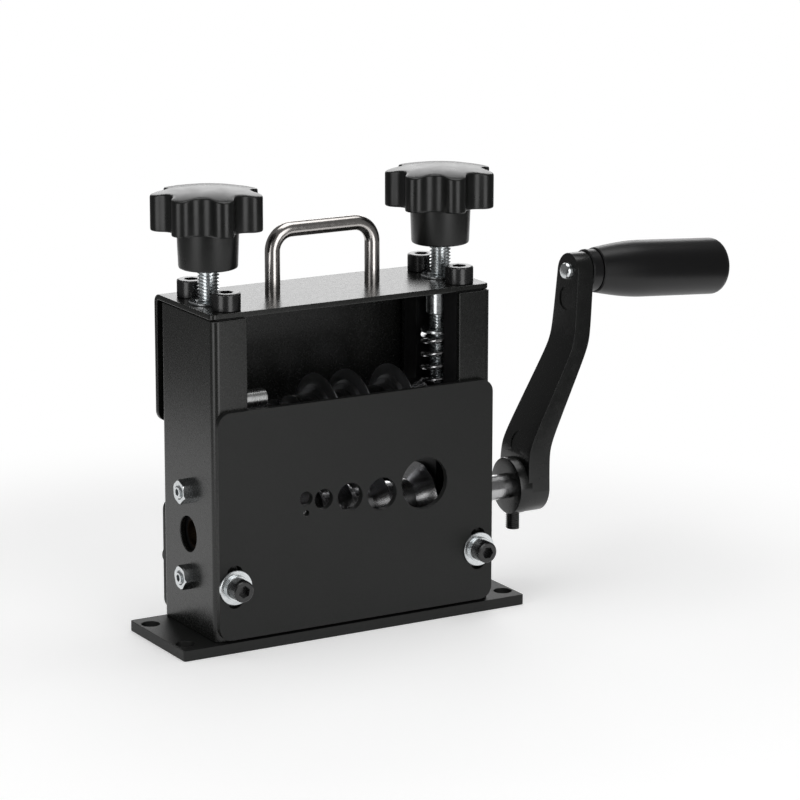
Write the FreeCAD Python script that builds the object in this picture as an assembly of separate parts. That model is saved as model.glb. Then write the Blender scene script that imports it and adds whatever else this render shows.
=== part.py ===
import FreeCAD
import Part
import math
import os

# Hand crank wire stripper, millimetres, +Z up, +X towards the crank, front towards -Y.
# The origin is the middle of the base plate's four bolt holes, on its underside.

# Base plate
base_length = 178.0
base_depth = 55.0
base_thickness = 5.0
base_hole_diameter = 8.5
base_hole_half_x = 83.5
base_hole_half_y = 17.5
base_corner_radius = 1.2

# Folded sheet housing
sheet = 2.5
bend_inside = 0.8
housing_width = 143.2
housing_front = -24.5
housing_depth = 52.0
side_height = 147.0
flange_width = 17.0
cover_gap = 0.3
cover_front_inset = 1.8
cover_rear_gap = 3.4
cover_bend_outside = 4.0
cover_rear_drop = 59.5
cover_corner_radius = 2.5
flange_corner_radius = 5.0

# Shafts and what turns on them
works_y = 2.0
drive_axis_z = 49.75
blade_axis_z = 92.0
shaft_diameter = 12.0
running_clearance = 0.05
bush_wall = 1.0
bush_flange_diameter = 19.0
bush_flange_thickness = 1.5
end_play = 0.1

# Guide frames and sliding blocks
frame_thickness = 14.4
frame_wall_gap = 0.1
frame_corner_radius = 1.2
slot_width = 25.0
slide_clearance = 0.1
block_overhang = 3.6
frame_web_height = 10.0
lower_block_height = 58.5
blade_block_height = 19.5
blade_block_below_axis = 10.0
block_end_gap = 0.6
wall_bore_clearance = 2.2

# Feed openings, smallest first
feed_x = [-27.0, -18.0, -4.4, 12.3, 34.6]
feed_diameter = [6.5, 9.4, 13.0, 15.2, 24.2]
feed_z = [67.0, 65.6, 64.8, 64.0, 66.2]
pilot_diameter = 3.0
pilot_below_feed = 6.9

# Drive rollers, turned from one bar
roller_radius = 18.0
groove_width = [6.6, 8.6, 12.8, 14.0, 18.8]
groove_floor_radius = [14.0, 12.6, 12.3, 11.0, 9.4]
blade_groove_width = 2.6
blade_groove_depth = 2.6

# Cutter wheels and sleeves
cutter_radius = 24.0
cutter_hub_width = 5.0
cutter_edge_width = 0.5
cutter_bevel_depth = 3.2
cutter_step_radius = 19.0
cutter_web_width = 2.6
small_cutter_radius = [14.4, 15.2]
small_cutter_width = 3.6
sleeve_radius = 15.0
left_sleeve_radius = 13.0
right_sleeve_radius = 15.8

# Feed plate and rear plate
plate_thickness = 3.0
plate_width = 142.0
plate_bottom_gap = 1.3
plate_height = 104.7
plate_corner_radius = 6.0
plate_slot_width = 8.0
plate_slot_length = 20.0
rear_plate_thickness = 2.5
rear_plate_width = 141.0
rear_plate_height = 54.0

# Screws
plate_bolt_x = 63.4
plate_bolt_z = 31.0
m6 = 6.0
m6_head_diameter = 10.0
m6_head_height = 6.0
m6_socket = 5.0
washer_diameter = 16.0
washer_thickness = 1.6
lock_washer_diameter = 12.0
lock_washer_thickness = 1.4
m8 = 8.0
m8_head_diameter = 13.0
m8_head_height = 8.0
m8_socket = 6.0
cover_screw_half_pitch = 17.0
cover_screw_grip = 20.0
hole_clearance = 0.4
side_screw_half_pitch = 20.0
lock_nut_width = 10.0
lock_nut_height = 4.6
grub_stand_out = 0.8
grub_socket = 3.0

# Adjusting screws, knobs and springs
knob_x = 60.0
adjuster_diameter = 10.0
knob_stand_off = 16.7
knob_hub_diameter = 28.0
knob_hub_taper = 0.7
knob_hub_height = 18.8
knob_lobe_height = 14.2
knob_dome_rise = 2.8
knob_diameter = 51.4
knob_lobe_radius = 6.9
knob_valley_radius = 4.2
knob_lobes = 7
left_knob_phase = 262.2
right_knob_phase = 258.0
rivet_flange_diameter = 18.0
rivet_flange_thickness = 1.3
rivet_body_diameter = 13.0
rivet_body_length = 16.8
thrust_washer_diameter = 18.0
thrust_washer_thickness = 1.6
spring_wire = 2.0
spring_outside = 18.0
spring_turns = 4.5
adjuster_room = 7.3
float_travel = 3.0

# Carry handle
handle_rod = 7.0
handle_half_span = 25.8
handle_y = 5.5
handle_height = 32.3
handle_corner_radius = 9.5
handle_screw = 4.0
handle_screw_head = 8.0
handle_screw_head_height = 2.4
handle_screw_depth = 9.0
handle_thread_depth = 10.0

# Dowel that stands out of the left guide frame
dowel_diameter = 8.4
dowel_z = 113.4
dowel_stand_out = 12.6
dowel_depth = 12.0

# Crank
crank_length = 100.0
hub_left = 97.0
hub_radius = 13.6
arm_left = 101.4
arm_low_thickness = 11.6
arm_high_thickness = 8.6
arm_offset = 25.2
arm_lower_bend = 19.0
arm_upper_bend = 67.0
arm_bend_radius = 16.0
arm_end_radius = 9.0
arm_low_radius = 12.2
arm_edge_radius = 1.6
arm_lean = 4.0
axle_diameter = 8.0
axle_stand_out = 2.6
set_screw_length = 14.0
set_screw_stand_out = 7.6
cast_mark_diameter = 11.3
cast_mark_depth = 0.5
cast_mark_low = 20.8
cast_mark_high = 87.6

# Hand grip
collar_diameter = 20.0
collar_length = 5.6
grip_length = 72.0
grip_neck_diameter = 21.5
grip_belly_diameter = 27.2
grip_end_round = 5.0
grip_belly_at = 27.0
grip_bore_clearance = 0.1

# Places that follow from the sizes above
base_top = base_thickness
side_top = base_top + side_height
housing_half = housing_width / 2.0
housing_rear = housing_front + housing_depth
wall_inner = housing_half - sheet
cover_bottom = side_top + cover_gap
cover_top = cover_bottom + sheet
cover_front = housing_front + cover_front_inset
cover_rear = housing_rear + cover_rear_gap + sheet
frame_outer = wall_inner - frame_wall_gap
frame_inner = frame_outer - frame_thickness
block_inner = frame_inner - block_overhang
frame_front = housing_front + sheet
frame_rear = housing_rear - sheet
slot_front = works_y - slot_width / 2.0
slot_rear = works_y + slot_width / 2.0
bush_outside = shaft_diameter + 2.0 * (running_clearance + bush_wall)
bush_inner_face = block_inner - bush_flange_thickness
spindle_half = bush_inner_face - end_play
lower_block_bottom = base_top + frame_web_height
blade_block_bottom = blade_axis_z - blade_block_below_axis
blade_block_top = blade_block_bottom + blade_block_height
rivet_body_bottom = cover_top - rivet_body_length
thrust_washer_bottom = rivet_body_bottom - adjuster_room - thrust_washer_thickness
spring_height = thrust_washer_bottom - blade_block_top
knob_hub_bottom = cover_top + knob_stand_off
knob_lobe_bottom = knob_hub_bottom + knob_hub_height
knob_top = knob_lobe_bottom + knob_lobe_height + knob_dome_rise
plate_bottom = base_top + plate_bottom_gap
hub_right = arm_left + arm_low_thickness
grip_axis_z = drive_axis_z + crank_length


def box(x0, x1, y0, y1, z0, z1):
    return Part.makeBox(x1 - x0, y1 - y0, z1 - z0, FreeCAD.Vector(x0, y0, z0))


def rod(axis, start, end, a, b, radius):
    """A cylinder along X, Y or Z from start to end; a and b place its axis."""
    places = {"x": (start, a, b), "y": (a, start, b), "z": (a, b, start)}
    ways = {"x": (1, 0, 0), "y": (0, 1, 0), "z": (0, 0, 1)}
    base = FreeCAD.Vector(*places[axis])
    return Part.makeCylinder(radius, end - start, base, FreeCAD.Vector(*ways[axis]))


def edges_along(shape, axis, accept):
    """Straight edges parallel to one axis whose middle passes the accept test."""
    way = {"x": FreeCAD.Vector(1, 0, 0), "y": FreeCAD.Vector(0, 1, 0), "z": FreeCAD.Vector(0, 0, 1)}[axis]
    found = []
    for edge in shape.Edges:
        if len(edge.Vertexes) != 2 or edge.Curve.TypeId != "Part::GeomLine":
            continue
        along = edge.Vertexes[1].Point.sub(edge.Vertexes[0].Point)
        if abs(abs(along.normalize().dot(way)) - 1.0) < 1e-6 and accept(edge.CenterOfMass):
            found.append(edge)
    return found


def hex_prism(across_flats, height, base, way):
    """A six-sided prism standing on base and pointing along way."""
    radius = across_flats / math.sqrt(3.0)
    points = []
    for k in range(7):
        turn = math.radians(60.0 * k)
        points.append(FreeCAD.Vector(radius * math.cos(turn), radius * math.sin(turn), 0))
    prism = Part.Face(Part.makePolygon(points)).extrude(FreeCAD.Vector(0, 0, height))
    prism.Placement = FreeCAD.Placement(base, FreeCAD.Rotation(FreeCAD.Vector(0, 0, 1), way))
    return prism


def socket_screw(seat, way, shank, length, head_diameter, head_height, socket):
    """A cap screw whose head stands on seat along way, with its shank the other way."""
    head = Part.makeCylinder(head_diameter / 2.0, head_height, seat, way)
    rim = [e for e in head.Edges if e.Curve.TypeId == "Part::GeomCircle"
           and e.CenterOfMass.sub(seat).dot(way) > head_height / 2.0]
    head = head.makeChamfer(head_height * 0.08, rim)
    socket_base = seat + way * (head_height * 0.45)
    head = head.cut(hex_prism(socket, head_height, socket_base, way))
    return head.fuse(Part.makeCylinder(shank / 2.0, length, seat, way * -1.0)).removeSplitter()


def revolve_about_x(outline, y, z):
    """Spins an outline of (x, radius) points about the X-parallel line at y, z."""
    points = [FreeCAD.Vector(x, y, z + r) for x, r in outline]
    points.append(points[0])
    face = Part.Face(Part.makePolygon(points))
    return face.revolve(FreeCAD.Vector(0, y, z), FreeCAD.Vector(1, 0, 0), 360)


def ring_x(x0, x1, y, z, outer, inner):
    return rod("x", x0, x1, y, z, outer).cut(rod("x", x0 - 1.0, x1 + 1.0, y, z, inner))


def save(name, solids):
    shape = solids if isinstance(solids, Part.Shape) else Part.makeCompound(solids)
    shape.exportStep("parts/" + name + ".step")


def mirrored(shape):
    return shape.mirror(FreeCAD.Vector(0, 0, 0), FreeCAD.Vector(1, 0, 0))


# Base plate: a flat steel plate with a bolt hole near each corner.
def base_plate():
    plate = box(-base_length / 2.0, base_length / 2.0, -base_depth / 2.0, base_depth / 2.0, 0, base_top)
    corners = edges_along(plate, "z", lambda p: True)
    plate = plate.makeFillet(base_corner_radius, corners)
    for x in (-base_hole_half_x, base_hole_half_x):
        for y in (-base_hole_half_y, base_hole_half_y):
            plate = plate.cut(rod("z", -1.0, base_top + 1.0, x, y, base_hole_diameter / 2.0))
    for screw in base_screw_places():
        plate = plate.cut(countersunk(screw, hole_clearance / 2.0))
    return plate


def base_screw_places():
    places = []
    for x in (-(frame_inner + frame_outer) / 2.0, (frame_inner + frame_outer) / 2.0):
        for y in ((frame_front + slot_front) / 2.0, (frame_rear + slot_rear) / 2.0):
            places.append(FreeCAD.Vector(x, y, 0))
    return places


def countersunk(place, extra):
    """A countersunk screw shape from the underside; extra widens it into its own hole."""
    head_height = m6 * 0.55
    cone = Part.makeCone(m6 + extra, m6 / 2.0 + extra, head_height, place)
    shank = Part.makeCylinder(m6 / 2.0 + extra, base_top + frame_web_height, place)
    return cone.fuse(shank).removeSplitter()


def base_screws():
    screws = []
    for place in base_screw_places():
        socket = hex_prism(m6_socket * 0.8, m6 * 0.4, place, FreeCAD.Vector(0, 0, 1))
        screws.append(countersunk(place, 0.0).cut(socket))
    return screws


# Side channels: sheet folded at its front and rear edges into flanges.
def side_channel():
    """The right side, drilled for the shaft, the lock screws and the plate bolts."""
    bend_outside = bend_inside + sheet
    outer = box(housing_half - flange_width, housing_half, housing_front, housing_rear, base_top, side_top)
    outer = outer.makeFillet(bend_outside, edges_along(outer, "z", lambda p: p.x > housing_half - 1.0))
    inner = box(0, wall_inner, frame_front, frame_rear, base_top - 1.0, side_top + 1.0)
    inner = inner.makeFillet(bend_inside, edges_along(inner, "z", lambda p: p.x > wall_inner - 1.0))
    channel = outer.cut(inner)
    bore = (bush_outside + wall_bore_clearance) / 2.0
    channel = channel.cut(rod("x", wall_inner - 1.0, housing_half + 1.0, works_y, drive_axis_z, bore))
    for z in side_screw_levels():
        channel = channel.cut(rod("x", wall_inner - 1.0, housing_half + 1.0, works_y, z, m6 / 2.0))
    bolt_hole = (m6 + hole_clearance) / 2.0
    bolt = rod("y", housing_front - 1.0, housing_rear + 1.0, plate_bolt_x, plate_bolt_z, bolt_hole)
    return channel.cut(bolt)


def side_screw_levels():
    return (drive_axis_z - side_screw_half_pitch, drive_axis_z + side_screw_half_pitch)


# Top cover: one sheet, bent down at the back, that carries the knobs and the handle.
def top_cover():
    r = cover_bend_outside
    low = cover_top - cover_rear_drop
    outline = [
        Part.LineSegment(point_yz(cover_front, cover_bottom), point_yz(cover_front, cover_top)),
        Part.LineSegment(point_yz(cover_front, cover_top), point_yz(cover_rear - r, cover_top)),
        bend_arc(cover_rear - r, cover_top - r, r, True),
        Part.LineSegment(point_yz(cover_rear, cover_top - r), point_yz(cover_rear, low)),
        Part.LineSegment(point_yz(cover_rear, low), point_yz(cover_rear - sheet, low)),
        Part.LineSegment(point_yz(cover_rear - sheet, low), point_yz(cover_rear - sheet, cover_top - r)),
        bend_arc(cover_rear - r, cover_top - r, r - sheet, False),
        Part.LineSegment(point_yz(cover_rear - r, cover_bottom), point_yz(cover_front, cover_bottom)),
    ]
    wire = Part.Wire([piece.toShape() for piece in outline])
    cover = Part.Face(wire).extrude(FreeCAD.Vector(housing_width, 0, 0))
    cover = cover.makeFillet(cover_corner_radius, edges_along(cover, "z", lambda p: p.y < cover_front + 1.0))
    cover = cover.makeFillet(flange_corner_radius, edges_along(cover, "y", lambda p: p.z < low + 1.0))
    for x, y in cover_screw_places():
        cover = cover.cut(rod("z", cover_bottom - 1.0, cover_top + 1.0, x, y, (m8 + hole_clearance) / 2.0))
    for x in (-knob_x, knob_x):
        hole = rivet_body_diameter / 2.0
        cover = cover.cut(rod("z", cover_bottom - 1.0, cover_top + 1.0, x, works_y, hole))
    for x in (-handle_half_span, handle_half_span):
        hole = (handle_screw + hole_clearance) / 2.0
        cover = cover.cut(rod("z", cover_bottom - 1.0, cover_top + 1.0, x, handle_y, hole))
    return cover


def point_yz(y, z):
    return FreeCAD.Vector(-housing_half, y, z)


def bend_arc(y, z, radius, outwards):
    """A quarter turn about (y, z), from the top to the rear or back again."""
    top = point_yz(y, z + radius)
    middle = point_yz(y + radius * math.sqrt(0.5), z + radius * math.sqrt(0.5))
    rear = point_yz(y + radius, z)
    if outwards:
        return Part.Arc(top, middle, rear)
    return Part.Arc(rear, middle, top)


def cover_screw_places():
    places = []
    for x in (-knob_x, knob_x):
        for y in (works_y - cover_screw_half_pitch, works_y + cover_screw_half_pitch):
            places.append((x, y))
    return places


def cover_screws():
    up = FreeCAD.Vector(0, 0, 1)
    screws = []
    for x, y in cover_screw_places():
        seat = FreeCAD.Vector(x, y, cover_top)
        length = sheet + cover_screw_grip
        screws.append(socket_screw(seat, up, m8, length, m8_head_diameter, m8_head_height, m8_socket))
    return screws


# Carry handle: a round rod bent to a U, held from below by two screws.
def carry_handle():
    r = handle_corner_radius
    top = cover_top + handle_height - handle_rod / 2.0
    side = handle_half_span
    def at(x, z):
        return FreeCAD.Vector(x, handle_y, z)
    half = r * math.sqrt(0.5)
    route = [
        Part.LineSegment(at(-side, cover_top), at(-side, top - r)),
        Part.Arc(at(-side, top - r), at(-side + r - half, top - r + half), at(-side + r, top)),
        Part.LineSegment(at(-side + r, top), at(side - r, top)),
        Part.Arc(at(side - r, top), at(side - r + half, top - r + half), at(side, top - r)),
        Part.LineSegment(at(side, top - r), at(side, cover_top)),
    ]
    path = Part.Wire([piece.toShape() for piece in route])
    ring = Part.Wire(Part.Circle(at(-side, cover_top), FreeCAD.Vector(0, 0, 1), handle_rod / 2.0).toShape())
    handle = path.makePipeShell([ring], True, False)
    thread_top = cover_top + handle_thread_depth
    for x in (-side, side):
        handle = handle.cut(rod("z", cover_top - 1.0, thread_top, x, handle_y, handle_screw / 2.0))
    return handle


def handle_screws():
    down = FreeCAD.Vector(0, 0, -1)
    screws = []
    for x in (-handle_half_span, handle_half_span):
        seat = FreeCAD.Vector(x, handle_y, cover_bottom)
        screws.append(socket_screw(seat, down, handle_screw, sheet + handle_screw_depth, handle_screw_head,
                                   handle_screw_head_height, handle_screw * 0.6))
    return screws


# Rivet nuts: threaded tubes set in the cover, one for each adjusting screw.
def rivet_nut():
    body = rod("z", rivet_body_bottom, cover_top, knob_x, works_y, rivet_body_diameter / 2.0)
    flange_radius = rivet_flange_diameter / 2.0
    flange = rod("z", cover_top, cover_top + rivet_flange_thickness, knob_x, works_y, flange_radius)
    nut = body.fuse(flange).removeSplitter()
    bore = adjuster_diameter / 2.0 + running_clearance
    return nut.cut(rod("z", rivet_body_bottom - 1.0, cover_top + 5.0, knob_x, works_y, bore))


# Guide frames: a U of thick flat bar inside each side, slotted for the bearing blocks.
def guide_frame():
    frame = box(frame_inner, frame_outer, frame_front, frame_rear, base_top, cover_bottom)
    frame = frame.makeFillet(frame_corner_radius, edges_along(frame, "z", lambda p: p.x > frame_outer - 1.0))
    slot_top = cover_bottom + 1.0
    slot = box(frame_inner - 1.0, frame_outer + 1.0, slot_front, slot_rear, lower_block_bottom, slot_top)
    frame = frame.cut(slot)
    for y in (works_y - cover_screw_half_pitch, works_y + cover_screw_half_pitch):
        frame = frame.cut(rod("z", cover_bottom - cover_screw_grip, cover_bottom + 1.0, knob_x, y, m8 / 2.0))
    bolt = rod("y", frame_front - 1.0, slot_front, plate_bolt_x, plate_bolt_z, m6 / 2.0)
    frame = frame.cut(bolt)
    frame = frame.cut(rod("y", slot_rear, frame_rear + 1.0, plate_bolt_x, plate_bolt_z, m6 / 2.0))
    for place in base_screw_places():
        frame = frame.cut(Part.makeCylinder(m6 / 2.0, base_top + frame_web_height, place))
    return frame


def dowel_rod(stand_out):
    """The dowel's round bar, from inside the left guide frame to stand_out beyond it."""
    y = (frame_front + slot_front) / 2.0
    start = -frame_inner - dowel_depth
    return rod("x", start, -frame_inner + stand_out, y, dowel_z, dowel_diameter / 2.0)


def guide_dowel():
    """A polished pin pressed into the front leg of the left guide frame."""
    pin = dowel_rod(dowel_stand_out)
    rims = [e for e in pin.Edges if e.Curve.TypeId == "Part::GeomCircle"]
    return pin.makeChamfer(dowel_diameter * 0.06, rims)


# Lower bearing blocks: they stand in the slots and carry the drive shaft in bronze bushes.
def lower_block():
    return bearing_block(lower_block_bottom, lower_block_bottom + lower_block_height, drive_axis_z)


def bearing_block(bottom, top, axis_z):
    """A block as wide as the slot allows, which stands out of it inwards, bored for its bush."""
    block = box(block_inner, frame_outer - block_end_gap, slot_front + slide_clearance,
                slot_rear - slide_clearance, bottom, top)
    bore = bush_outside / 2.0
    return block.cut(rod("x", block_inner - 1.0, frame_outer + 1.0, works_y, axis_z, bore))


def bush(z):
    tube = rod("x", block_inner, frame_outer - block_end_gap, works_y, z, bush_outside / 2.0)
    flange = rod("x", bush_inner_face, block_inner, works_y, z, bush_flange_diameter / 2.0)
    bore = shaft_diameter / 2.0 + running_clearance
    whole = tube.fuse(flange).removeSplitter()
    return whole.cut(rod("x", bush_inner_face - 1.0, frame_outer + 1.0, works_y, z, bore))


# Side screws: grub screws with lock nuts that hold each lower block along the shaft.
def side_grub_screws():
    screws = []
    for z in side_screw_levels():
        outer = housing_half + lock_nut_height + grub_stand_out
        screw = rod("x", frame_outer - block_end_gap, outer, works_y, z, m6 / 2.0)
        floor = FreeCAD.Vector(outer - 4.0, works_y, z)
        screws.append(screw.cut(hex_prism(grub_socket, 4.0, floor, FreeCAD.Vector(1, 0, 0))))
    return screws


def side_lock_nuts():
    nuts = []
    for z in side_screw_levels():
        seat = FreeCAD.Vector(housing_half, works_y, z)
        nut = hex_prism(lock_nut_width, lock_nut_height, seat, FreeCAD.Vector(1, 0, 0))
        round_over = Part.makeCone(lock_nut_width * 0.68, lock_nut_width * 0.5, lock_nut_height * 1.6,
                                   seat, FreeCAD.Vector(1, 0, 0))
        nut = nut.common(round_over)
        nuts.append(nut.cut(rod("x", housing_half - 1.0, housing_half + 10.0, works_y, z, m6 / 2.0)))
    return nuts


# Front feed plate: slotted for height, with a row of feed holes sized for the cables.
def rounded_plate(half_width, y0, y1, z0, z1):
    plate = box(-half_width, half_width, y0, y1, z0, z1)
    return plate.makeFillet(plate_corner_radius, edges_along(plate, "y", lambda p: True))


def front_feed_plate():
    front = housing_front - plate_thickness
    plate = rounded_plate(plate_width / 2.0, front, housing_front, plate_bottom, plate_bottom + plate_height)
    for x, z, diameter in zip(feed_x, feed_z, feed_diameter):
        plate = plate.cut(rod("y", front - 1.0, housing_front + 1.0, x, z, diameter / 2.0))
    pilot_z = feed_z[0] - pilot_below_feed
    plate = plate.cut(rod("y", front - 1.0, housing_front + 1.0, feed_x[0], pilot_z, pilot_diameter / 2.0))
    for x in (-plate_bolt_x, plate_bolt_x):
        plate = plate.cut(plate_slot(x, front))
    return plate


def plate_slot(x, front):
    """A vertical slot with round ends, through the plate."""
    r = plate_slot_width / 2.0
    reach = plate_slot_length / 2.0 - r
    slot = box(x - r, x + r, front - 1.0, housing_front + 1.0, plate_bolt_z - reach, plate_bolt_z + reach)
    for z in (plate_bolt_z - reach, plate_bolt_z + reach):
        slot = slot.fuse(rod("y", front - 1.0, housing_front + 1.0, x, z, r))
    return slot


def front_plate_washers():
    washers = []
    front = housing_front - plate_thickness
    for x in (-plate_bolt_x, plate_bolt_x):
        flat = rod("y", front - washer_thickness, front, x, plate_bolt_z, washer_diameter / 2.0)
        lock = rod("y", front - washer_thickness - lock_washer_thickness, front - washer_thickness,
                   x, plate_bolt_z, lock_washer_diameter / 2.0)
        bore = rod("y", front - 10.0, front + 1.0, x, plate_bolt_z, (m6 + hole_clearance) / 2.0)
        washers.append(flat.cut(bore))
        washers.append(lock.cut(bore))
    return washers


def front_plate_bolts():
    toward = FreeCAD.Vector(0, -1, 0)
    seat_y = housing_front - plate_thickness - washer_thickness - lock_washer_thickness
    length = plate_thickness + washer_thickness + lock_washer_thickness + sheet + 10.0
    bolts = []
    for x in (-plate_bolt_x, plate_bolt_x):
        seat = FreeCAD.Vector(x, seat_y, plate_bolt_z)
        bolts.append(socket_screw(seat, toward, m6, length, m6_head_diameter, m6_head_height, m6_socket))
    return bolts


# Rear exit plate: closes the lower back below the gap where the stripped wire comes out.
def rear_exit_plate():
    rear = housing_rear + rear_plate_thickness
    top = plate_bottom + rear_plate_height
    plate = rounded_plate(rear_plate_width / 2.0, housing_rear, rear, plate_bottom, top)
    hole = (m6 + hole_clearance) / 2.0
    for x in (-plate_bolt_x, plate_bolt_x):
        plate = plate.cut(rod("y", housing_rear - 1.0, rear + 1.0, x, plate_bolt_z, hole))
    return plate


def rear_plate_screws():
    backward = FreeCAD.Vector(0, 1, 0)
    length = rear_plate_thickness + sheet + 9.0
    screws = []
    for x in (-plate_bolt_x, plate_bolt_x):
        seat = FreeCAD.Vector(x, housing_rear + rear_plate_thickness, plate_bolt_z)
        screws.append(socket_screw(seat, backward, m6, length, m6_head_diameter, m6_head_height, m6_socket))
    return screws


# Drive shaft and its rollers: a groove under each cutter, with rims left standing between them.
def drive_shaft():
    start = -frame_outer + block_end_gap
    shaft = rod("x", start, hub_right - 2.0, works_y, drive_axis_z, shaft_diameter / 2.0)
    rims = [e for e in shaft.Edges if e.Curve.TypeId == "Part::GeomCircle"]
    return shaft.makeChamfer(0.8, rims)


def drive_rollers():
    """One bar with a flat-bottomed groove under each feed hole, deeper for the thicker cables."""
    bore = shaft_diameter / 2.0
    roller = ring_x(-spindle_half, spindle_half, works_y, drive_axis_z, roller_radius, bore)
    for x, width, floor in zip(feed_x, groove_width, groove_floor_radius):
        half = width / 2.0
        roller = roller.cut(ring_x(x - half, x + half, works_y, drive_axis_z, roller_radius + 1.0, floor))
    for x, floor in zip(feed_x[2:], groove_floor_radius[2:]):
        half = blade_groove_width / 2.0
        root = floor - blade_groove_depth
        roller = roller.cut(ring_x(x - half, x + half, works_y, drive_axis_z, floor + 1.0, root))
    return roller


# Blade spindle: shaft, cutter wheels and the sleeves that space them.
def blade_shaft():
    end = frame_outer - block_end_gap
    shaft = rod("x", -end, end, works_y, blade_axis_z, shaft_diameter / 2.0)
    rims = [e for e in shaft.Edges if e.Curve.TypeId == "Part::GeomCircle"]
    return shaft.makeChamfer(0.8, rims)


def cutter_wheel(x):
    """A wheel with a thick hub, a thinner web and a bevelled cutting edge."""
    bore = shaft_diameter / 2.0
    hub, web, edge = cutter_hub_width / 2.0, cutter_web_width / 2.0, cutter_edge_width / 2.0
    step = cutter_step_radius
    slope = (hub - web) * 1.2
    bevel = cutter_radius - cutter_bevel_depth
    side = [(hub, bore), (hub, step - slope), (web, step), (web, bevel), (edge, cutter_radius)]
    outline = [(x - w, r) for w, r in side] + [(x + w, r) for w, r in reversed(side)]
    return revolve_about_x(outline, works_y, blade_axis_z)


def small_cutter(x, radius):
    bore = shaft_diameter / 2.0
    half = small_cutter_width / 2.0
    edge = cutter_edge_width / 2.0
    side = [(half, bore), (half, radius - small_cutter_width), (edge, radius)]
    outline = [(x - w, r) for w, r in side] + [(x + w, r) for w, r in reversed(side)]
    return revolve_about_x(outline, works_y, blade_axis_z)


def spacer_sleeves():
    """Fills the shaft between the cutters; each end sleeve bears on its bush."""
    small = small_cutter_width / 2.0
    large = cutter_hub_width / 2.0
    half_widths = [small, small, large, large, large]
    left = -spindle_half
    bore = shaft_diameter / 2.0
    sleeves = []
    radii = [left_sleeve_radius, small_cutter_radius[0] - 2.0, sleeve_radius, sleeve_radius, sleeve_radius]
    for x, half, radius in zip(feed_x, half_widths, radii):
        sleeves.append(ring_x(left, x - half, works_y, blade_axis_z, radius, bore))
        left = x + half
    sleeves.append(ring_x(left, spindle_half, works_y, blade_axis_z, right_sleeve_radius, bore))
    return sleeves


# Upper bearing blocks: they slide in the guide frames and are pressed down by the springs.
def blade_block():
    return bearing_block(blade_block_bottom, blade_block_top, blade_axis_z)


def spring():
    """A compression spring from the block to the thrust washer; its wire has eight flats."""
    radius = (spring_outside - spring_wire) / 2.0
    climb = spring_height - spring_wire
    start = blade_block_top + spring_wire / 2.0
    helix = Part.makeHelix(climb / spring_turns, climb, radius)
    helix.translate(FreeCAD.Vector(knob_x, works_y, start))
    corners = []
    for k in range(9):
        turn = math.radians(45.0 * k)
        across, up = spring_wire / 2.0 * math.cos(turn), spring_wire / 2.0 * math.sin(turn)
        corners.append(FreeCAD.Vector(knob_x + radius + across, works_y, start + up))
    return Part.Wire(helix.Edges).makePipeShell([Part.makePolygon(corners)], True, True)


def thrust_washer():
    disc = rod("z", thrust_washer_bottom, thrust_washer_bottom + thrust_washer_thickness, knob_x, works_y,
               thrust_washer_diameter / 2.0)
    bore = adjuster_diameter / 2.0 + running_clearance
    return disc.cut(rod("z", thrust_washer_bottom - 1.0, thrust_washer_bottom + 5.0, knob_x, works_y, bore))


# Adjusting screws and their star knobs.
def adjusting_screw():
    """The screw goes down inside the spring and stops short of the block."""
    tip = blade_block_top + float_travel + 0.4
    top = knob_lobe_bottom
    screw = rod("z", tip, top, knob_x, works_y, adjuster_diameter / 2.0)
    rims = [e for e in screw.Edges if e.Curve.TypeId == "Part::GeomCircle" and e.CenterOfMass.z < tip + 1.0]
    return screw.makeChamfer(1.0, rims)


def star_outline(phase, z):
    """A closed line of lobes and valleys whose arcs run smoothly into each other."""
    half = math.pi / knob_lobes
    lobe_at = knob_diameter / 2.0 - knob_lobe_radius
    join = knob_lobe_radius + knob_valley_radius
    valley_at = lobe_at * math.cos(half) + math.sqrt(join ** 2 - (lobe_at * math.sin(half)) ** 2)
    def at(radius, angle):
        return FreeCAD.Vector(knob_x + radius * math.cos(angle), works_y + radius * math.sin(angle), z)
    def meeting(lobe_angle, valley_angle):
        lobe, valley = at(lobe_at, lobe_angle), at(valley_at, valley_angle)
        return lobe + (valley - lobe) * (knob_lobe_radius / join)
    edges = []
    for k in range(knob_lobes):
        turn = math.radians(phase) + 2.0 * half * k
        start, end = meeting(turn, turn - half), meeting(turn, turn + half)
        onward = meeting(turn + 2.0 * half, turn + half)
        edges.append(Part.Arc(start, at(lobe_at + knob_lobe_radius, turn), end).toShape())
        edges.append(Part.Arc(end, at(valley_at - knob_valley_radius, turn + half), onward).toShape())
    return Part.Wire(edges)


def star_knob(phase):
    """A hub under a ring of lobes, with a low dome on top and a bore for the screw."""
    way_up = FreeCAD.Vector(0, 0, knob_top - knob_lobe_bottom)
    head = Part.Face(star_outline(phase, knob_lobe_bottom)).extrude(way_up)
    crown_radius = (knob_diameter / 2.0) ** 2 / (2.0 * knob_dome_rise) + knob_dome_rise / 2.0
    crown_centre = FreeCAD.Vector(knob_x, works_y, knob_top - crown_radius)
    head = head.common(Part.makeSphere(crown_radius, crown_centre))
    hub_top = knob_hub_diameter / 2.0
    hub = Part.makeCone(hub_top - knob_hub_taper, hub_top, knob_lobe_bottom - knob_hub_bottom,
                        FreeCAD.Vector(knob_x, works_y, knob_hub_bottom))
    knob = head.fuse(hub).removeSplitter()
    bore = adjuster_diameter / 2.0
    return knob.cut(rod("z", knob_hub_bottom - 1.0, knob_lobe_bottom, knob_x, works_y, bore))


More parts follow.
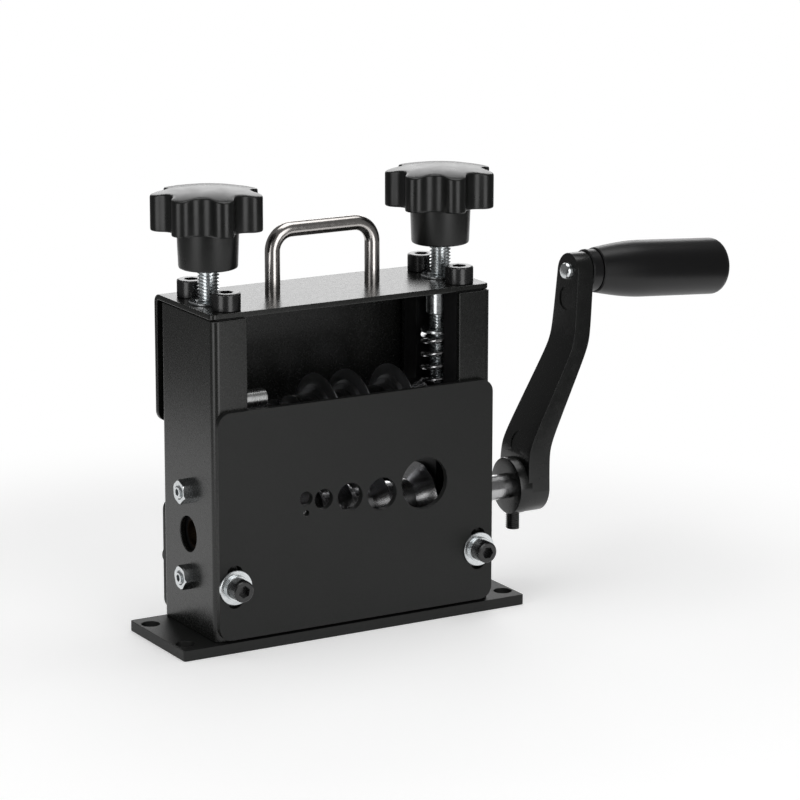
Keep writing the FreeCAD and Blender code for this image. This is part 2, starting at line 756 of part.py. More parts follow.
# Crank: a cast arm with a hub, stepped outwards so that the hand clears the housing.
def arm_side_outline():
    """The arm seen from the front: a lower run, an outward slope and a leaning upper run."""
    low = drive_axis_z - 2.0 * arm_low_radius
    z1 = drive_axis_z + arm_lower_bend
    z2 = drive_axis_z + arm_upper_bend
    top = grip_axis_z + 2.0 * arm_end_radius
    centre_low = arm_left + arm_low_thickness / 2.0
    centre_high = centre_low + arm_offset
    centre_top = centre_high + (top - z2) * math.tan(math.radians(arm_lean))
    a, b = arm_low_thickness / 2.0, arm_high_thickness / 2.0
    left = [(centre_low - a, low), (centre_low - a, z1), (centre_high - b, z2), (centre_top - b, top)]
    right_z = [low, z1 - 2.0, z2 + 1.0, top]
    right_x = [centre_low + a, centre_low + a, centre_high + b, centre_top + b]
    return left + list(reversed(list(zip(right_x, right_z))))


def crank_arm():
    reach = 2.0 * hub_radius
    points = [FreeCAD.Vector(x, works_y - reach, z) for x, z in arm_side_outline()]
    points.append(points[0])
    side = Part.Face(Part.makePolygon(points)).extrude(FreeCAD.Vector(0, 2.0 * reach, 0))
    bends = edges_along(side, "y", lambda p: drive_axis_z < p.z < grip_axis_z)
    side = side.makeFillet(arm_bend_radius, bends)
    arm = side.common(arm_front_outline())
    arm = arm.makeFillet(arm_edge_radius, arm_long_edges(arm))
    arm = arm.fuse(rod("x", hub_left, arm_left + 2.0, works_y, drive_axis_z, hub_radius)).removeSplitter()
    arm = arm.cut(rod("x", hub_left - 1.0, hub_right - 2.0, works_y, drive_axis_z, shaft_diameter / 2.0))
    arm = arm.cut(set_screw_rod(m6 / 2.0))
    for height in (cast_mark_low, cast_mark_high):
        arm = arm.cut(cast_mark(drive_axis_z + height))
    axle_hole = rod("x", -2.0 * arm_high_thickness, arm_high_thickness, 0, 0, axle_diameter / 2.0)
    return arm.cut(on_grip_axis(axle_hole))


def arm_long_edges(arm):
    """The edges that run round the arm's left and right faces."""
    return [e for e in arm.Edges if e.BoundBox.YLength > 2.0 * arm_end_radius or e.BoundBox.ZLength > 6.0]


def arm_front_outline():
    """The arm seen from the side: two rounds joined by their common tangents."""
    low, high = arm_low_radius, arm_end_radius
    lean = math.asin((low - high) / crank_length)
    c, s = math.cos(lean), math.sin(lean)
    x = hub_left - 5.0
    def at(y, z):
        return FreeCAD.Vector(x, y, z)
    low_y, low_z = low * c, drive_axis_z + low * s
    high_y, high_z = high * c, grip_axis_z + high * s
    over = at(works_y, grip_axis_z + high)
    under = at(works_y, drive_axis_z - low)
    edges = [
        Part.LineSegment(at(works_y + low_y, low_z), at(works_y + high_y, high_z)),
        Part.Arc(at(works_y + high_y, high_z), over, at(works_y - high_y, high_z)),
        Part.LineSegment(at(works_y - high_y, high_z), at(works_y - low_y, low_z)),
        Part.Arc(at(works_y - low_y, low_z), under, at(works_y + low_y, low_z)),
    ]
    wire = Part.Wire([edge.toShape() for edge in edges])
    return Part.Face(wire).extrude(FreeCAD.Vector(arm_offset * 3.0, 0, 0))


def arm_left_face(z):
    """Where the arm's left face stands at height z."""
    z1 = drive_axis_z + arm_lower_bend
    z2 = drive_axis_z + arm_upper_bend
    centre_low = arm_left + arm_low_thickness / 2.0
    centre_high = centre_low + arm_offset
    if z < z1:
        return arm_left
    if z > z2:
        return centre_high - arm_high_thickness / 2.0 + (z - z2) * math.tan(math.radians(arm_lean))
    share = (z - z1) / (z2 - z1)
    return arm_left + share * (centre_high - arm_high_thickness / 2.0 - arm_left)


def cast_mark(z):
    """A shallow round mark left by the casting, on the arm's left face."""
    x = arm_left_face(z)
    return rod("x", x - 20.0, x + cast_mark_depth, works_y, z, cast_mark_diameter / 2.0)


def set_screw_rod(radius):
    x = (hub_left + arm_left) / 2.0 + 1.6
    bottom = drive_axis_z - hub_radius - set_screw_stand_out
    return rod("z", bottom, bottom + set_screw_length, x, works_y, radius)


def crank_set_screw():
    screw = set_screw_rod(m6 / 2.0)
    base = FreeCAD.Vector(screw.BoundBox.Center.x, works_y, screw.BoundBox.ZMin - 1.0)
    return screw.cut(hex_prism(grub_socket, 4.0, base, FreeCAD.Vector(0, 0, 1)))


def on_grip_axis(shape):
    """Puts a shape built along X from zero onto the grip's axis, from the arm's outer face."""
    x = arm_left_face(grip_axis_z) + arm_high_thickness
    turn = FreeCAD.Rotation(FreeCAD.Vector(0, 1, 0), arm_lean)
    shape = shape.copy()
    shape.Placement = FreeCAD.Placement(FreeCAD.Vector(x, works_y, grip_axis_z), turn)
    return shape


def grip_axle():
    start = -arm_high_thickness - axle_stand_out
    pin = rod("x", start, collar_length + grip_length - 12.0, 0, 0, axle_diameter / 2.0)
    rims = [e for e in pin.Edges if e.Curve.TypeId == "Part::GeomCircle"]
    return on_grip_axis(pin.makeChamfer(0.8, rims))


def grip_collar():
    collar = ring_x(0, collar_length, 0, 0, collar_diameter / 2.0, axle_diameter / 2.0)
    return on_grip_axis(collar)


def hand_grip():
    """A swelling plastic sleeve that turns on the axle, closed at its far end."""
    start = collar_length + end_play
    end = start + grip_length
    neck, belly = grip_neck_diameter / 2.0, grip_belly_diameter / 2.0
    bore = axle_diameter / 2.0 + grip_bore_clearance
    bottom = collar_length + grip_length - 12.0 + 0.5
    r = grip_end_round
    def at(x, radius):
        return FreeCAD.Vector(x, 0, radius)
    half = r * math.sqrt(0.5)
    swell = start + grip_belly_at
    edges = [
        Part.LineSegment(at(start, bore), at(start, neck)).toShape(),
        Part.Arc(at(start, neck), at(start + grip_belly_at * 0.45, neck + (belly - neck) * 0.66),
                 at(swell, belly)).toShape(),
        Part.LineSegment(at(swell, belly), at(end - r, belly)).toShape(),
        Part.Arc(at(end - r, belly), at(end - r + half, belly - r + half), at(end, belly - r)).toShape(),
        Part.LineSegment(at(end, belly - r), at(end, 0)).toShape(),
        Part.LineSegment(at(end, 0), at(bottom, 0)).toShape(),
        Part.LineSegment(at(bottom, 0), at(bottom, bore)).toShape(),
        Part.LineSegment(at(bottom, bore), at(start, bore)).toShape(),
    ]
    face = Part.Face(Part.Wire(edges))
    return on_grip_axis(face.revolve(FreeCAD.Vector(0, 0, 0), FreeCAD.Vector(1, 0, 0), 360))


def build_all():
    os.makedirs("parts", exist_ok=True)
    save("base_plate", base_plate())
    save("base_screws", base_screws())
    save("right_side_channel", side_channel())
    save("left_side_channel", mirrored(side_channel()))
    save("top_cover", top_cover())
    save("cover_screws", cover_screws())
    save("carry_handle", carry_handle())
    save("handle_screws", handle_screws())
    save("right_rivet_nut", rivet_nut())
    save("left_rivet_nut", mirrored(rivet_nut()))
    save("right_guide_frame", guide_frame())
    save("left_guide_frame", mirrored(guide_frame()).cut(dowel_rod(dowel_stand_out)))
    save("guide_dowel", guide_dowel())
    save("right_lower_block", lower_block())
    save("left_lower_block", mirrored(lower_block()))
    save("drive_bushes", [bush(drive_axis_z), mirrored(bush(drive_axis_z))])
    save("side_grub_screws", side_grub_screws() + [mirrored(s) for s in side_grub_screws()])
    save("side_lock_nuts", side_lock_nuts() + [mirrored(s) for s in side_lock_nuts()])
    save("front_feed_plate", front_feed_plate())
    save("front_plate_washers", front_plate_washers())
    save("front_plate_bolts", front_plate_bolts())
    save("rear_exit_plate", rear_exit_plate())
    save("rear_plate_screws", rear_plate_screws())
    save("drive_shaft", drive_shaft())
    save("drive_rollers", drive_rollers())
    save("blade_shaft", blade_shaft())
    save("cutter_wheels", [cutter_wheel(x) for x in feed_x[2:]])
    save("small_cutters", [small_cutter(x, r) for x, r in zip(feed_x, small_cutter_radius)])
    save("spacer_sleeves", spacer_sleeves())
    save("right_blade_block", blade_block())
    save("left_blade_block", mirrored(blade_block()))
    save("blade_bushes", [bush(blade_axis_z), mirrored(bush(blade_axis_z))])
    save("right_spring", spring())
    save("left_spring", mirrored(spring()))
    save("thrust_washers", [thrust_washer(), mirrored(thrust_washer())])
    save("right_adjusting_screw", adjusting_screw())
    save("left_adjusting_screw", mirrored(adjusting_screw()))
    save("right_knob", star_knob(right_knob_phase))
    save("left_knob", mirrored(star_knob(180.0 - left_knob_phase)))
    save("crank_arm", crank_arm())
    save("crank_set_screw", crank_set_screw())
    save("grip_axle", grip_axle())
    save("grip_collar", grip_collar())
    save("hand_grip", hand_grip())


build_all()
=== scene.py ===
import bmesh
import bpy
import math
from mathutils import Matrix, Vector


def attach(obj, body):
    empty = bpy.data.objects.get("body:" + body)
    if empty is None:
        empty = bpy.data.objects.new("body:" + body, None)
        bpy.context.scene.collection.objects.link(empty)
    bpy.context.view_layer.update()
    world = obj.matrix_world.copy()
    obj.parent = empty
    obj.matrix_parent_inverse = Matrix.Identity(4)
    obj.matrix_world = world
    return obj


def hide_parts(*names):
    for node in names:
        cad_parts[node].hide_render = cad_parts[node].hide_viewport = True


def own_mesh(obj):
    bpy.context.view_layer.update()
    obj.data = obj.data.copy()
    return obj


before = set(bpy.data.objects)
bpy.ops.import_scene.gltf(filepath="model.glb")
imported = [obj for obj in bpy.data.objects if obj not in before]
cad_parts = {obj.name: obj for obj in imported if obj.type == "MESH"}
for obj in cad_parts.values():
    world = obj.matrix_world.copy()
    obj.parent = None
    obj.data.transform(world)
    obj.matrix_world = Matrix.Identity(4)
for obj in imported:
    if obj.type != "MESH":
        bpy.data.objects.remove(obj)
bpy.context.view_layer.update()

# Base plate: a flat-bar steel plate, sawn and drilled, with the edges lightly broken.
# It has a thin black coating, almost matt, that shows a fine grain where the light grazes it.


def linear(hex_colour):
    """The linear colour that a written sRGB hex colour stands for."""
    parts = [int(hex_colour[k:k + 2], 16) / 255.0 for k in (1, 3, 5)]
    return [c / 12.92 if c <= 0.04045 else ((c + 0.055) / 1.055) ** 2.4 for c in parts] + [1.0]


def add(tree, kind, settings, inputs):
    """Adds a node with its settings; an input is a value, or a node and one of its outputs."""
    node = tree.nodes.new(kind)
    for name, value in settings.items():
        setattr(node, name, value)
    for name, value in inputs.items():
        if isinstance(value, tuple) and isinstance(value[0], bpy.types.Node):
            tree.links.new(value[0].outputs[value[1]], node.inputs[name])
        else:
            node.inputs[name].default_value = value
    return node


def new_finish(name, colour, roughness, metallic, **sockets):
    """A material with its shader and a node that gives places on the object in metres."""
    finish = bpy.data.materials.new(name)
    finish.use_nodes = True
    tree = finish.node_tree
    shader = tree.nodes["Principled BSDF"]
    shader.inputs["Base Color"].default_value = linear(colour)
    shader.inputs["Roughness"].default_value = roughness
    shader.inputs["Metallic"].default_value = metallic
    for socket, value in sockets.items():
        shader.inputs[socket.replace("_", " ")].default_value = value
    place = add(tree, "ShaderNodeTexCoord", {}, {})
    return finish, tree, shader, place


def grain(tree, place, size_mm, detail=3.0, stretch=(1.0, 1.0, 1.0)):
    """A noise whose grains are about size_mm across, longer where stretch is under one."""
    spread = add(tree, "ShaderNodeMapping", {}, {"Vector": (place, "Object"), "Scale": stretch})
    scale = 1000.0 / size_mm
    return add(tree, "ShaderNodeTexNoise", {},
               {"Vector": (spread, "Vector"), "Scale": scale, "Detail": detail})


def vary(tree, source, low, high):
    """Turns a noise into a value that runs between low and high."""
    return add(tree, "ShaderNodeMapRange", {}, {"Value": (source, "Fac"), "From Min": 0.3, "From Max": 0.7,
                                                "To Min": low, "To Max": high})


def sheen(tree, shader, source, low, high):
    """Lets a noise move the roughness between low and high."""
    tree.links.new(vary(tree, source, low, high).outputs["Result"], shader.inputs["Roughness"])


def shade(tree, shader, source, dark, light):
    """Lets a noise move the colour between two written ones."""
    spread = vary(tree, source, 0.0, 1.0)
    mixed = add(tree, "ShaderNodeMix", {"data_type": "RGBA"},
                {"Factor": (spread, "Result"), 6: linear(dark), 7: linear(light)})
    tree.links.new(mixed.outputs[2], shader.inputs["Base Color"])


def relief(tree, shader, source, depth_mm):
    """Raises the surface by a noise, depth_mm at the most."""
    bump = add(tree, "ShaderNodeBump", {}, {"Height": (source, "Fac"), "Distance": depth_mm * 0.001,
                                            "Strength": 1.0})
    tree.links.new(bump.outputs["Normal"], shader.inputs["Normal"])


def block(bm, x0, x1, y0, y1, z0, z1):
    """A rectangular block between its corner values, in millimetres."""
    verts = bmesh.ops.create_cube(bm, size=1.0)["verts"]
    bmesh.ops.scale(bm, vec=(x1 - x0, y1 - y0, z1 - z0), verts=verts)
    bmesh.ops.translate(bm, vec=((x0 + x1) / 2.0, (y0 + y1) / 2.0, (z0 + z1) / 2.0), verts=verts)
    return verts


def spot_on(axis, level, centre):
    """The point at a level along an axis; centre is its place across the axis."""
    return {"x": (level, *centre), "y": (centre[0], level, centre[1]), "z": (*centre, level)}[axis]


def turned_to(axis):
    """The turn that lays a form built along Z onto the X or Y axis."""
    return {"x": Matrix.Rotation(math.pi / 2.0, 4, "Y"), "y": Matrix.Rotation(-math.pi / 2.0, 4, "X"),
            "z": Matrix.Identity(4)}[axis]


def pin(bm, axis, start, end, centre, radius, sides=64):
    """A round bar along an axis from start to end; centre is its place across the axis."""
    middle = (start + end) / 2.0
    place = Matrix.Translation(spot_on(axis, middle, centre)) @ turned_to(axis)
    made = bmesh.ops.create_cone(bm, cap_ends=True, cap_tris=False, segments=sides, radius1=radius,
                                 radius2=radius, depth=end - start, matrix=place)
    return made["verts"]


def meshed(form, name):
    """Turns a form into a mesh and frees it."""
    mesh = bpy.data.meshes.new(name)
    form.to_mesh(mesh)
    form.free()
    return mesh


def linked(name, data):
    """An object in the scene that holds a mesh, a lamp or a camera."""
    thing = bpy.data.objects.new(name, data)
    bpy.context.scene.collection.objects.link(thing)
    return thing


def cut_with(stock, tool):
    """Takes the tool's solid out of the stock, as drilling and milling do."""
    helpers = [linked("helper", meshed(form, "helper")) for form in (stock, tool)]
    cut = helpers[0].modifiers.new("cut", "BOOLEAN")
    cut.operation = "DIFFERENCE"
    cut.solver = "EXACT"
    cut.object = helpers[1]
    bpy.context.view_layer.update()
    result = bmesh.new()
    result.from_object(helpers[0], bpy.context.evaluated_depsgraph_get())
    for helper in helpers:
        bpy.data.meshes.remove(helper.data)
    return result


def along(bm, axis, keep):
    """The straight edges parallel to one axis whose middle passes the keep test."""
    way = Vector(spot_on(axis, 1.0, (0.0, 0.0)))
    found = []
    for edge in bm.edges:
        a, b = edge.verts[0].co, edge.verts[1].co
        if (b - a).length > 1e-6 and abs((b - a).normalized().dot(way)) > 0.9999 and keep((a + b) / 2.0):
            found.append(edge)
    return found


def rounded(bm, edges, radius, segments=4):
    """Rounds edges to a radius."""
    bmesh.ops.bevel(bm, geom=edges, offset=radius, offset_type="OFFSET", segments=segments, profile=0.5,
                    affect="EDGES", clamp_overlap=True, material=-1)


def broken_edges(bm, width, sharper_than=40.0, segments=2):
    """Takes the sharpness off every edge that turns by more than an angle."""
    limit = math.radians(sharper_than)
    sharp = [e for e in bm.edges if len(e.link_faces) == 2 and e.calc_face_angle(0.0) > limit]
    rounded(bm, sharp, width, segments)


def finished(bm, name, finish, body, nodes, smooth=35.0, weighted=True):
    """Turns a form in millimetres into a piece of the tool that rides on its body."""
    bmesh.ops.scale(bm, vec=(0.001, 0.001, 0.001), verts=bm.verts)
    bmesh.ops.remove_doubles(bm, verts=bm.verts, dist=1e-7)
    bmesh.ops.recalc_face_normals(bm, faces=bm.faces)
    for face in bm.faces:
        face.smooth = True
    mesh = meshed(bm, name)
    mesh.set_sharp_from_angle(angle=math.radians(smooth))
    mesh.materials.append(finish)
    piece = linked(name, mesh)
    if weighted:
        flat = piece.modifiers.new("flat faces stay flat", "WEIGHTED_NORMAL")
        flat.keep_sharp = True
        flat.weight = 100
    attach(piece, body)
    if nodes:
        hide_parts(*nodes)
    return piece


def dressed(finish, *nodes):
    """Gives a carried-over solid its material."""
    for name in nodes:
        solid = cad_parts[name]
        solid.data.materials.clear()
        solid.data.materials.append(finish)


plate_black, tree, shader, place = new_finish("matt_black_coating_on_flat_steel", "#131413", 0.5, 0.0,
                                              IOR=1.4)
fine = grain(tree, place, 0.7, 4.0)
broad = grain(tree, place, 30.0, 2.0)
shade(tree, shader, broad, "#121312", "#151615")
sheen(tree, shader, fine, 0.44, 0.56)
relief(tree, shader, fine, 0.006)

base_x, base_y, base_z = 178.0, 55.0, 5.0
bm = bmesh.new()
block(bm, -base_x / 2, base_x / 2, -base_y / 2, base_y / 2, 0, base_z)
rounded(bm, along(bm, "z", lambda p: True), 1.2, 4)
drill = bmesh.new()
for x in (-83.5, 83.5):
    for y in (-17.5, 17.5):
        pin(drill, "z", -2, base_z + 2, (x, y), 4.25)
for x in (-61.8, 61.8):
    for y in (-16.25, 19.75):
        pin(drill, "z", -2, base_z + 2, (x, y), 3.2, 32)
bm = cut_with(bm, drill)
broken_edges(bm, 0.35)
finished(bm, "base_plate_dressed", plate_black, "frame", ["base_plate"])

# Base screws: countersunk socket screws under the plate, in plain black oxide.
# Only their flat heads show, from below.

black_oxide, tree, shader, place = new_finish("black_oxide_on_alloy_steel", "#121213", 0.26, 0.0, IOR=1.6)
fine = grain(tree, place, 0.5, 4.0)
shade(tree, shader, grain(tree, place, 6.0), "#0e0e0f", "#171718")
sheen(tree, shader, fine, 0.2, 0.32)
relief(tree, shader, fine, 0.004)
dressed(black_oxide, "base_screws")

# Side channels: 2.5 mm sheet, folded at the front and rear edges into flanges 17 mm wide.
# Powder coated semigloss black, which leaves a faint orange peel and soft bright lines on the bends.

powder_coat, tree, shader, place = new_finish("semigloss_black_powder_coat", "#101110", 0.27, 0.0, IOR=1.5)
peel = grain(tree, place, 1.6, 3.0)
shade(tree, shader, grain(tree, place, 45.0, 2.0), "#0f100f", "#131412")
sheen(tree, shader, peel, 0.24, 0.29)
relief(tree, shader, peel, 0.008)

half_width, front_y, rear_y, sheet = 71.6, -24.5, 27.5, 2.5
side_low, side_high, works_y, shaft_z = 5.0, 152.0, 2.0, 49.75


def only(geom, kind):
    return [g for g in geom if isinstance(g, kind)]


def rim_of(verts):
    """The edges at some points, each once and in a fixed order."""
    return list(dict.fromkeys(e for v in verts for e in v.link_edges))


def extended(bm, edges):
    """Draws a rim out into a wall; gives the wall's far points and its far rim."""
    made = bmesh.ops.extrude_edge_only(bm, edges=edges)["geom"]
    verts = only(made, bmesh.types.BMVert)
    own = set(verts)
    return verts, [e for e in only(made, bmesh.types.BMEdge) if all(v in own for v in e.verts)]


def folded_side():
    """The right side: a strip folded twice, given its thickness, then drilled."""
    bm = bmesh.new()
    flange = half_width - 17.0
    start = [(flange, front_y), (half_width, front_y), (half_width, rear_y), (flange, rear_y)]
    verts = [bm.verts.new((x, y, side_low)) for x, y in start]
    edges = [bm.edges.new(pair) for pair in zip(verts, verts[1:])]
    bmesh.ops.translate(bm, vec=(0, 0, side_high - side_low), verts=extended(bm, edges)[0])
    rounded(bm, along(bm, "z", lambda p: p.x > half_width - 1.0), 3.3, 8)
    bmesh.ops.recalc_face_normals(bm, faces=bm.faces)
    outside = max(bm.faces, key=lambda f: f.calc_area())
    if outside.normal.x < 0:
        bmesh.ops.reverse_faces(bm, faces=bm.faces)
    bmesh.ops.solidify(bm, geom=bm.faces[:], thickness=sheet)
    bmesh.ops.recalc_face_normals(bm, faces=bm.faces)
    drill = bmesh.new()
    pin(drill, "x", half_width - 9, half_width + 5, (works_y, shaft_z), 8.15, 72)
    for z in (shaft_z - 20.0, shaft_z + 20.0):
        pin(drill, "x", half_width - 9, half_width + 5, (works_y, z), 3.0, 32)
    pin(drill, "y", front_y - 5, front_y + 6, (63.4, 31.0), 3.2, 32)
    pin(drill, "y", rear_y - 6, rear_y + 5, (63.4, 31.0), 3.2, 32)
    bm = cut_with(bm, drill)
    broken_edges(bm, 0.45, 50.0, 3)
    return bm


def mirrored(bm):
    """Makes the left side's form from the right side's."""
    bmesh.ops.scale(bm, vec=(-1, 1, 1), verts=bm.verts)
    bmesh.ops.reverse_faces(bm, faces=bm.faces)
    return bm


for name, form in (("right_side", folded_side()), ("left_side", mirrored(folded_side()))):
    finished(form, name + "_dressed", powder_coat, "frame", [name + "_channel"])

# Guide frames, lower blocks and the dowel: flat bar and block, milled and blackened.
# The frames stand behind the flanges and take the cover's screws; the dowel is ground and bright.

blackened_steel, tree, shader, place = new_finish("blackened_milled_steel", "#1d1d1e", 0.42, 0.3)
mill = grain(tree, place, 0.6, 3.0, (1.0, 1.0, 0.08))
shade(tree, shader, mill, "#161617", "#242425")
relief(tree, shader, mill, 0.002)
dressed(blackened_steel, "left_guide_frame", "right_guide_frame", "left_lower_block", "right_lower_block")

ground_steel, tree, shader, place = new_finish("ground_bright_steel", "#c3c4c4", 0.28, 1.0)
lines = grain(tree, place, 0.9, 1.0, (1.0, 0.003, 0.003))
sheen(tree, shader, lines, 0.25, 0.3)
relief(tree, shader, lines, 0.0004)


def lathe(bm, outline, axis="x", centre=(0.0, 0.0), steps=96):
    """Spins an outline of (place along the axis, radius) points all the way round."""
    verts = [bm.verts.new((r, 0.0, a)) for a, r in outline]
    edges = [bm.edges.new(pair) for pair in zip(verts, verts[1:])]
    if all(abs(r) > 1e-6 for _, r in (outline[0], outline[-1])):
        edges.append(bm.edges.new((verts[-1], verts[0])))
    spun = bmesh.ops.spin(bm, geom=verts + edges, cent=(0, 0, 0), axis=(0, 0, 1), dvec=(0, 0, 0),
                          angle=2.0 * math.pi, steps=steps, use_merge=True, use_duplicate=False)
    own = set(verts)
    reach = list(verts)
    while reach:
        vert = reach.pop()
        for edge in vert.link_edges:
            other = edge.other_vert(vert)
            if other not in own:
                own.add(other)
                reach.append(other)
    made = [v for v in bm.verts if v in own]
    bmesh.ops.remove_doubles(bm, verts=made, dist=1e-5)
    alive = [v for v in made if v.is_valid]
    place = Matrix.Translation(spot_on(axis, 0.0, centre)) @ turned_to(axis)
    bmesh.ops.transform(bm, matrix=place, verts=alive)
    return alive


def softened(outline, width):
    """Replaces each corner of an outline by a short slope, width long each way."""
    points = []
    for k, (a, r) in enumerate(outline):
        if 0 < k < len(outline) - 1:
            here = Vector((a, r))
            for other in (outline[k - 1], outline[k + 1]):
                way = Vector(other) - here
                points.append(tuple(here + way.normalized() * min(width, way.length * 0.45)))
        else:
            points.append((a, r))
    return points


bm = bmesh.new()
lathe(bm, softened([(-66.0, 0.0), (-66.0, 4.2), (-42.0, 4.2), (-42.0, 0.0)], 0.5), "x", (-16.25, 113.4), 64)
finished(bm, "guide_dowel_dressed", ground_steel, "frame", ["guide_dowel"])

# Bushes: thin sintered bronze tubes with a flange, pressed into the blocks.
# One shows as a ring in the left side's round hole.

bronze, tree, shader, place = new_finish("oily_sintered_bronze", "#40352a", 0.4, 1.0)
speck = grain(tree, place, 0.4, 4.0)
shade(tree, shader, speck, "#2e2620", "#4d4133")
relief(tree, shader, speck, 0.004)


def bush(bm, side, z):
    """Tube and flange on one side of the tool; side is -1 on the left and 1 on the right."""
    inner, frame_face, outer = 49.5, 51.0, 68.4
    outline = [(inner, 6.05), (inner, 9.5), (frame_face, 9.5), (frame_face, 7.05), (outer, 7.05),
               (outer, 6.05)]
    lathe(bm, [(side * a, r) for a, r in outline], "x", (works_y, z), 64)


for name, body, z in (("drive_bushes", "frame", shaft_z), ("blade_bushes", "blade_carriage", 92.0)):
    bm = bmesh.new()
    bush(bm, -1.0, z)
    bush(bm, 1.0, z)
    finished(bm, name + "_dressed", bronze, body, [name])


# Side screws: socket grub screws with zinc plated lock nuts that clamp the lower blocks.
# The nuts have chamfered corners; the plating is bright with a slightly cloudy bloom.

zinc, tree, shader, place = new_finish("bright_zinc_plate", "#d8dbdc", 0.22, 1.0)
bloom = grain(tree, place, 3.2, 2.0)
shade(tree, shader, bloom, "#ccd0d2", "#e2e5e6")
sheen(tree, shader, bloom, 0.19, 0.27)
relief(tree, shader, bloom, 0.002)

thread_depth = 0.61


def threaded(bm, axis, centre, low, high, outer, pitch, steps):
    """A zigzag line swept once round while it climbs one pitch, then trimmed to its length."""
    count = int((high - low) / pitch) + 3
    root = outer - thread_depth * pitch
    line = []
    for k in range(count):
        foot = low + (k - 1.5) * pitch
        line += [(root, foot), (root, foot + 0.2 * pitch),
                 (outer, foot + 0.52 * pitch), (outer, foot + 0.68 * pitch)]
    verts = [bm.verts.new((r, 0.0, z)) for r, z in line]
    edges = [bm.edges.new(pair) for pair in zip(verts, verts[1:])]
    known = set(bm.verts) - set(verts)
    bmesh.ops.spin(bm, geom=verts + edges, cent=(0, 0, 0), axis=(0, 0, 1), dvec=(0, 0, pitch / steps),
                   angle=2.0 * math.pi, steps=steps, use_merge=False, use_duplicate=False)
    made = [v for v in bm.verts if v not in known]
    bmesh.ops.remove_doubles(bm, verts=made, dist=1e-4)
    made = [v for v in bm.verts if v not in known]
    for level, up in ((low, -1.0), (high, 1.0)):
        own = set(made)
        geom = made + [g for g in (*bm.edges, *bm.faces) if g.verts[0] in own]
        cut = bmesh.ops.bisect_plane(bm, geom=geom, dist=1e-5, plane_co=(0, 0, level), plane_no=(0, 0, up),
                                     clear_outer=True, clear_inner=False)
        bmesh.ops.edgenet_fill(bm, edges=only(cut["geom_cut"], bmesh.types.BMEdge))
        made = [v for v in bm.verts if v not in known]
    place = Matrix.Translation(spot_on(axis, 0.0, centre)) @ turned_to(axis)
    bmesh.ops.transform(bm, matrix=place, verts=made)


def hexagon(bm, axis, start, end, centre, across_flats, turn):
    """A six-sided bar along an axis, turned about it by some degrees."""
    verts = pin(bm, axis, start, end, centre, across_flats / math.sqrt(3.0), 6)
    bmesh.ops.rotate(bm, cent=spot_on(axis, 0.0, centre),
                     matrix=Matrix.Rotation(math.radians(turn), 3, axis.upper()), verts=verts)


def lock_nut(side, z, turn):
    """A six-sided nut whose corners are taken off by a cone."""
    face, height, flats = half_width, 4.6, 10.0
    stock = bmesh.new()
    hexagon(stock, "x", *sorted((side * face, side * (face + height))), (works_y, z), flats, turn)
    corner, top = flats / math.sqrt(3.0), face + height
    tool = bmesh.new()
    for inner, outer in ((top - 0.9, top), (face + 0.5, face)):
        past = outer + (outer - inner)
        ring = [(inner, corner + 0.3), (inner, corner + 3.0), (past, corner + 3.0), (past, corner - 1.4)]
        lathe(tool, [(side * a, r) for a, r in ring], "x", (works_y, z), 48)
    bm = cut_with(stock, tool)
    bore = bmesh.new()
    line = [(face - 2, 0.0), (face - 2, 2.95), (top - 0.5, 2.95), (top + 0.5, 3.95), (top + 0.5, 0.0)]
    lathe(bore, [(side * a, r) for a, r in line], "x", (works_y, z), 40)
    return cut_with(bm, bore)


def grub_screw(side, z):
    """The screw's threaded end with its hexagon socket."""
    inner, outer = 70.0, half_width + 4.6 + 0.8
    bm = bmesh.new()
    threaded(bm, "x", (works_y, z), *sorted((side * inner, side * outer)), 2.93, 1.0, 32)
    socket = bmesh.new()
    hexagon(socket, "x", *sorted((side * (outer - 3.0), side * (outer + 1.0))), (works_y, z), 3.0, 12.0)
    return cut_with(bm, socket)


def joined(forms):
    """Puts several separate forms into one."""
    whole = bmesh.new()
    for form in forms:
        mesh = meshed(form, "helper")
        whole.from_mesh(mesh)
        bpy.data.meshes.remove(mesh)
    return whole


levels = (shaft_z - 20.0, shaft_z + 20.0)
nuts = joined([lock_nut(side, z, turn) for side in (-1.0, 1.0) for z, turn in zip(levels, (8.0, 22.0))])
broken_edges(nuts, 0.12, 30.0)
finished(nuts, "side_lock_nuts_dressed", zinc, "frame", ["side_lock_nuts"])
screws = joined([grub_screw(side, z) for side in (-1.0, 1.0) for z in levels])
finished(screws, "side_grub_screws_dressed", zinc, "frame", ["side_grub_screws"], 25.0, False)

# Feed plate: 3 mm steel with rounded corners, one row of feed holes and two slots for its bolts.
# Matt black; the holes' rims are broken and their walls catch a little light.

plate_front, plate_low, plate_high, plate_half = front_y - 3.0, 6.3, 111.0, 71.0
feeds = ((-27.0, 67.0, 6.5), (-18.0, 65.6, 9.4), (-4.4, 64.8, 13.0), (12.3, 64.0, 15.2), (34.6, 66.2, 24.2))
bolt_x, bolt_z = 63.4, 31.0
bm = bmesh.new()
block(bm, -plate_half, plate_half, plate_front, front_y, plate_low, plate_high)
rounded(bm, along(bm, "y", lambda p: True), 6.0, 10)
drill = bmesh.new()
for x, z, across in feeds:
    pin(drill, "y", plate_front - 2, front_y + 2, (x, z), across / 2.0, 96)
pin(drill, "y", plate_front - 2, front_y + 2, (-27.0, 60.1), 1.5, 32)
bm = cut_with(bm, drill)
for x in (-bolt_x, bolt_x):
    slot = bmesh.new()
    block(slot, x - 4.0, x + 4.0, plate_front - 2, front_y + 2, bolt_z - 10.0, bolt_z + 10.0)
    rounded(slot, along(slot, "y", lambda p: True), 3.99, 12)
    bm = cut_with(bm, slot)
broken_edges(bm, 0.3, 50.0)
finished(bm, "feed_plate_dressed", plate_black, "feed_plate", ["front_feed_plate"])

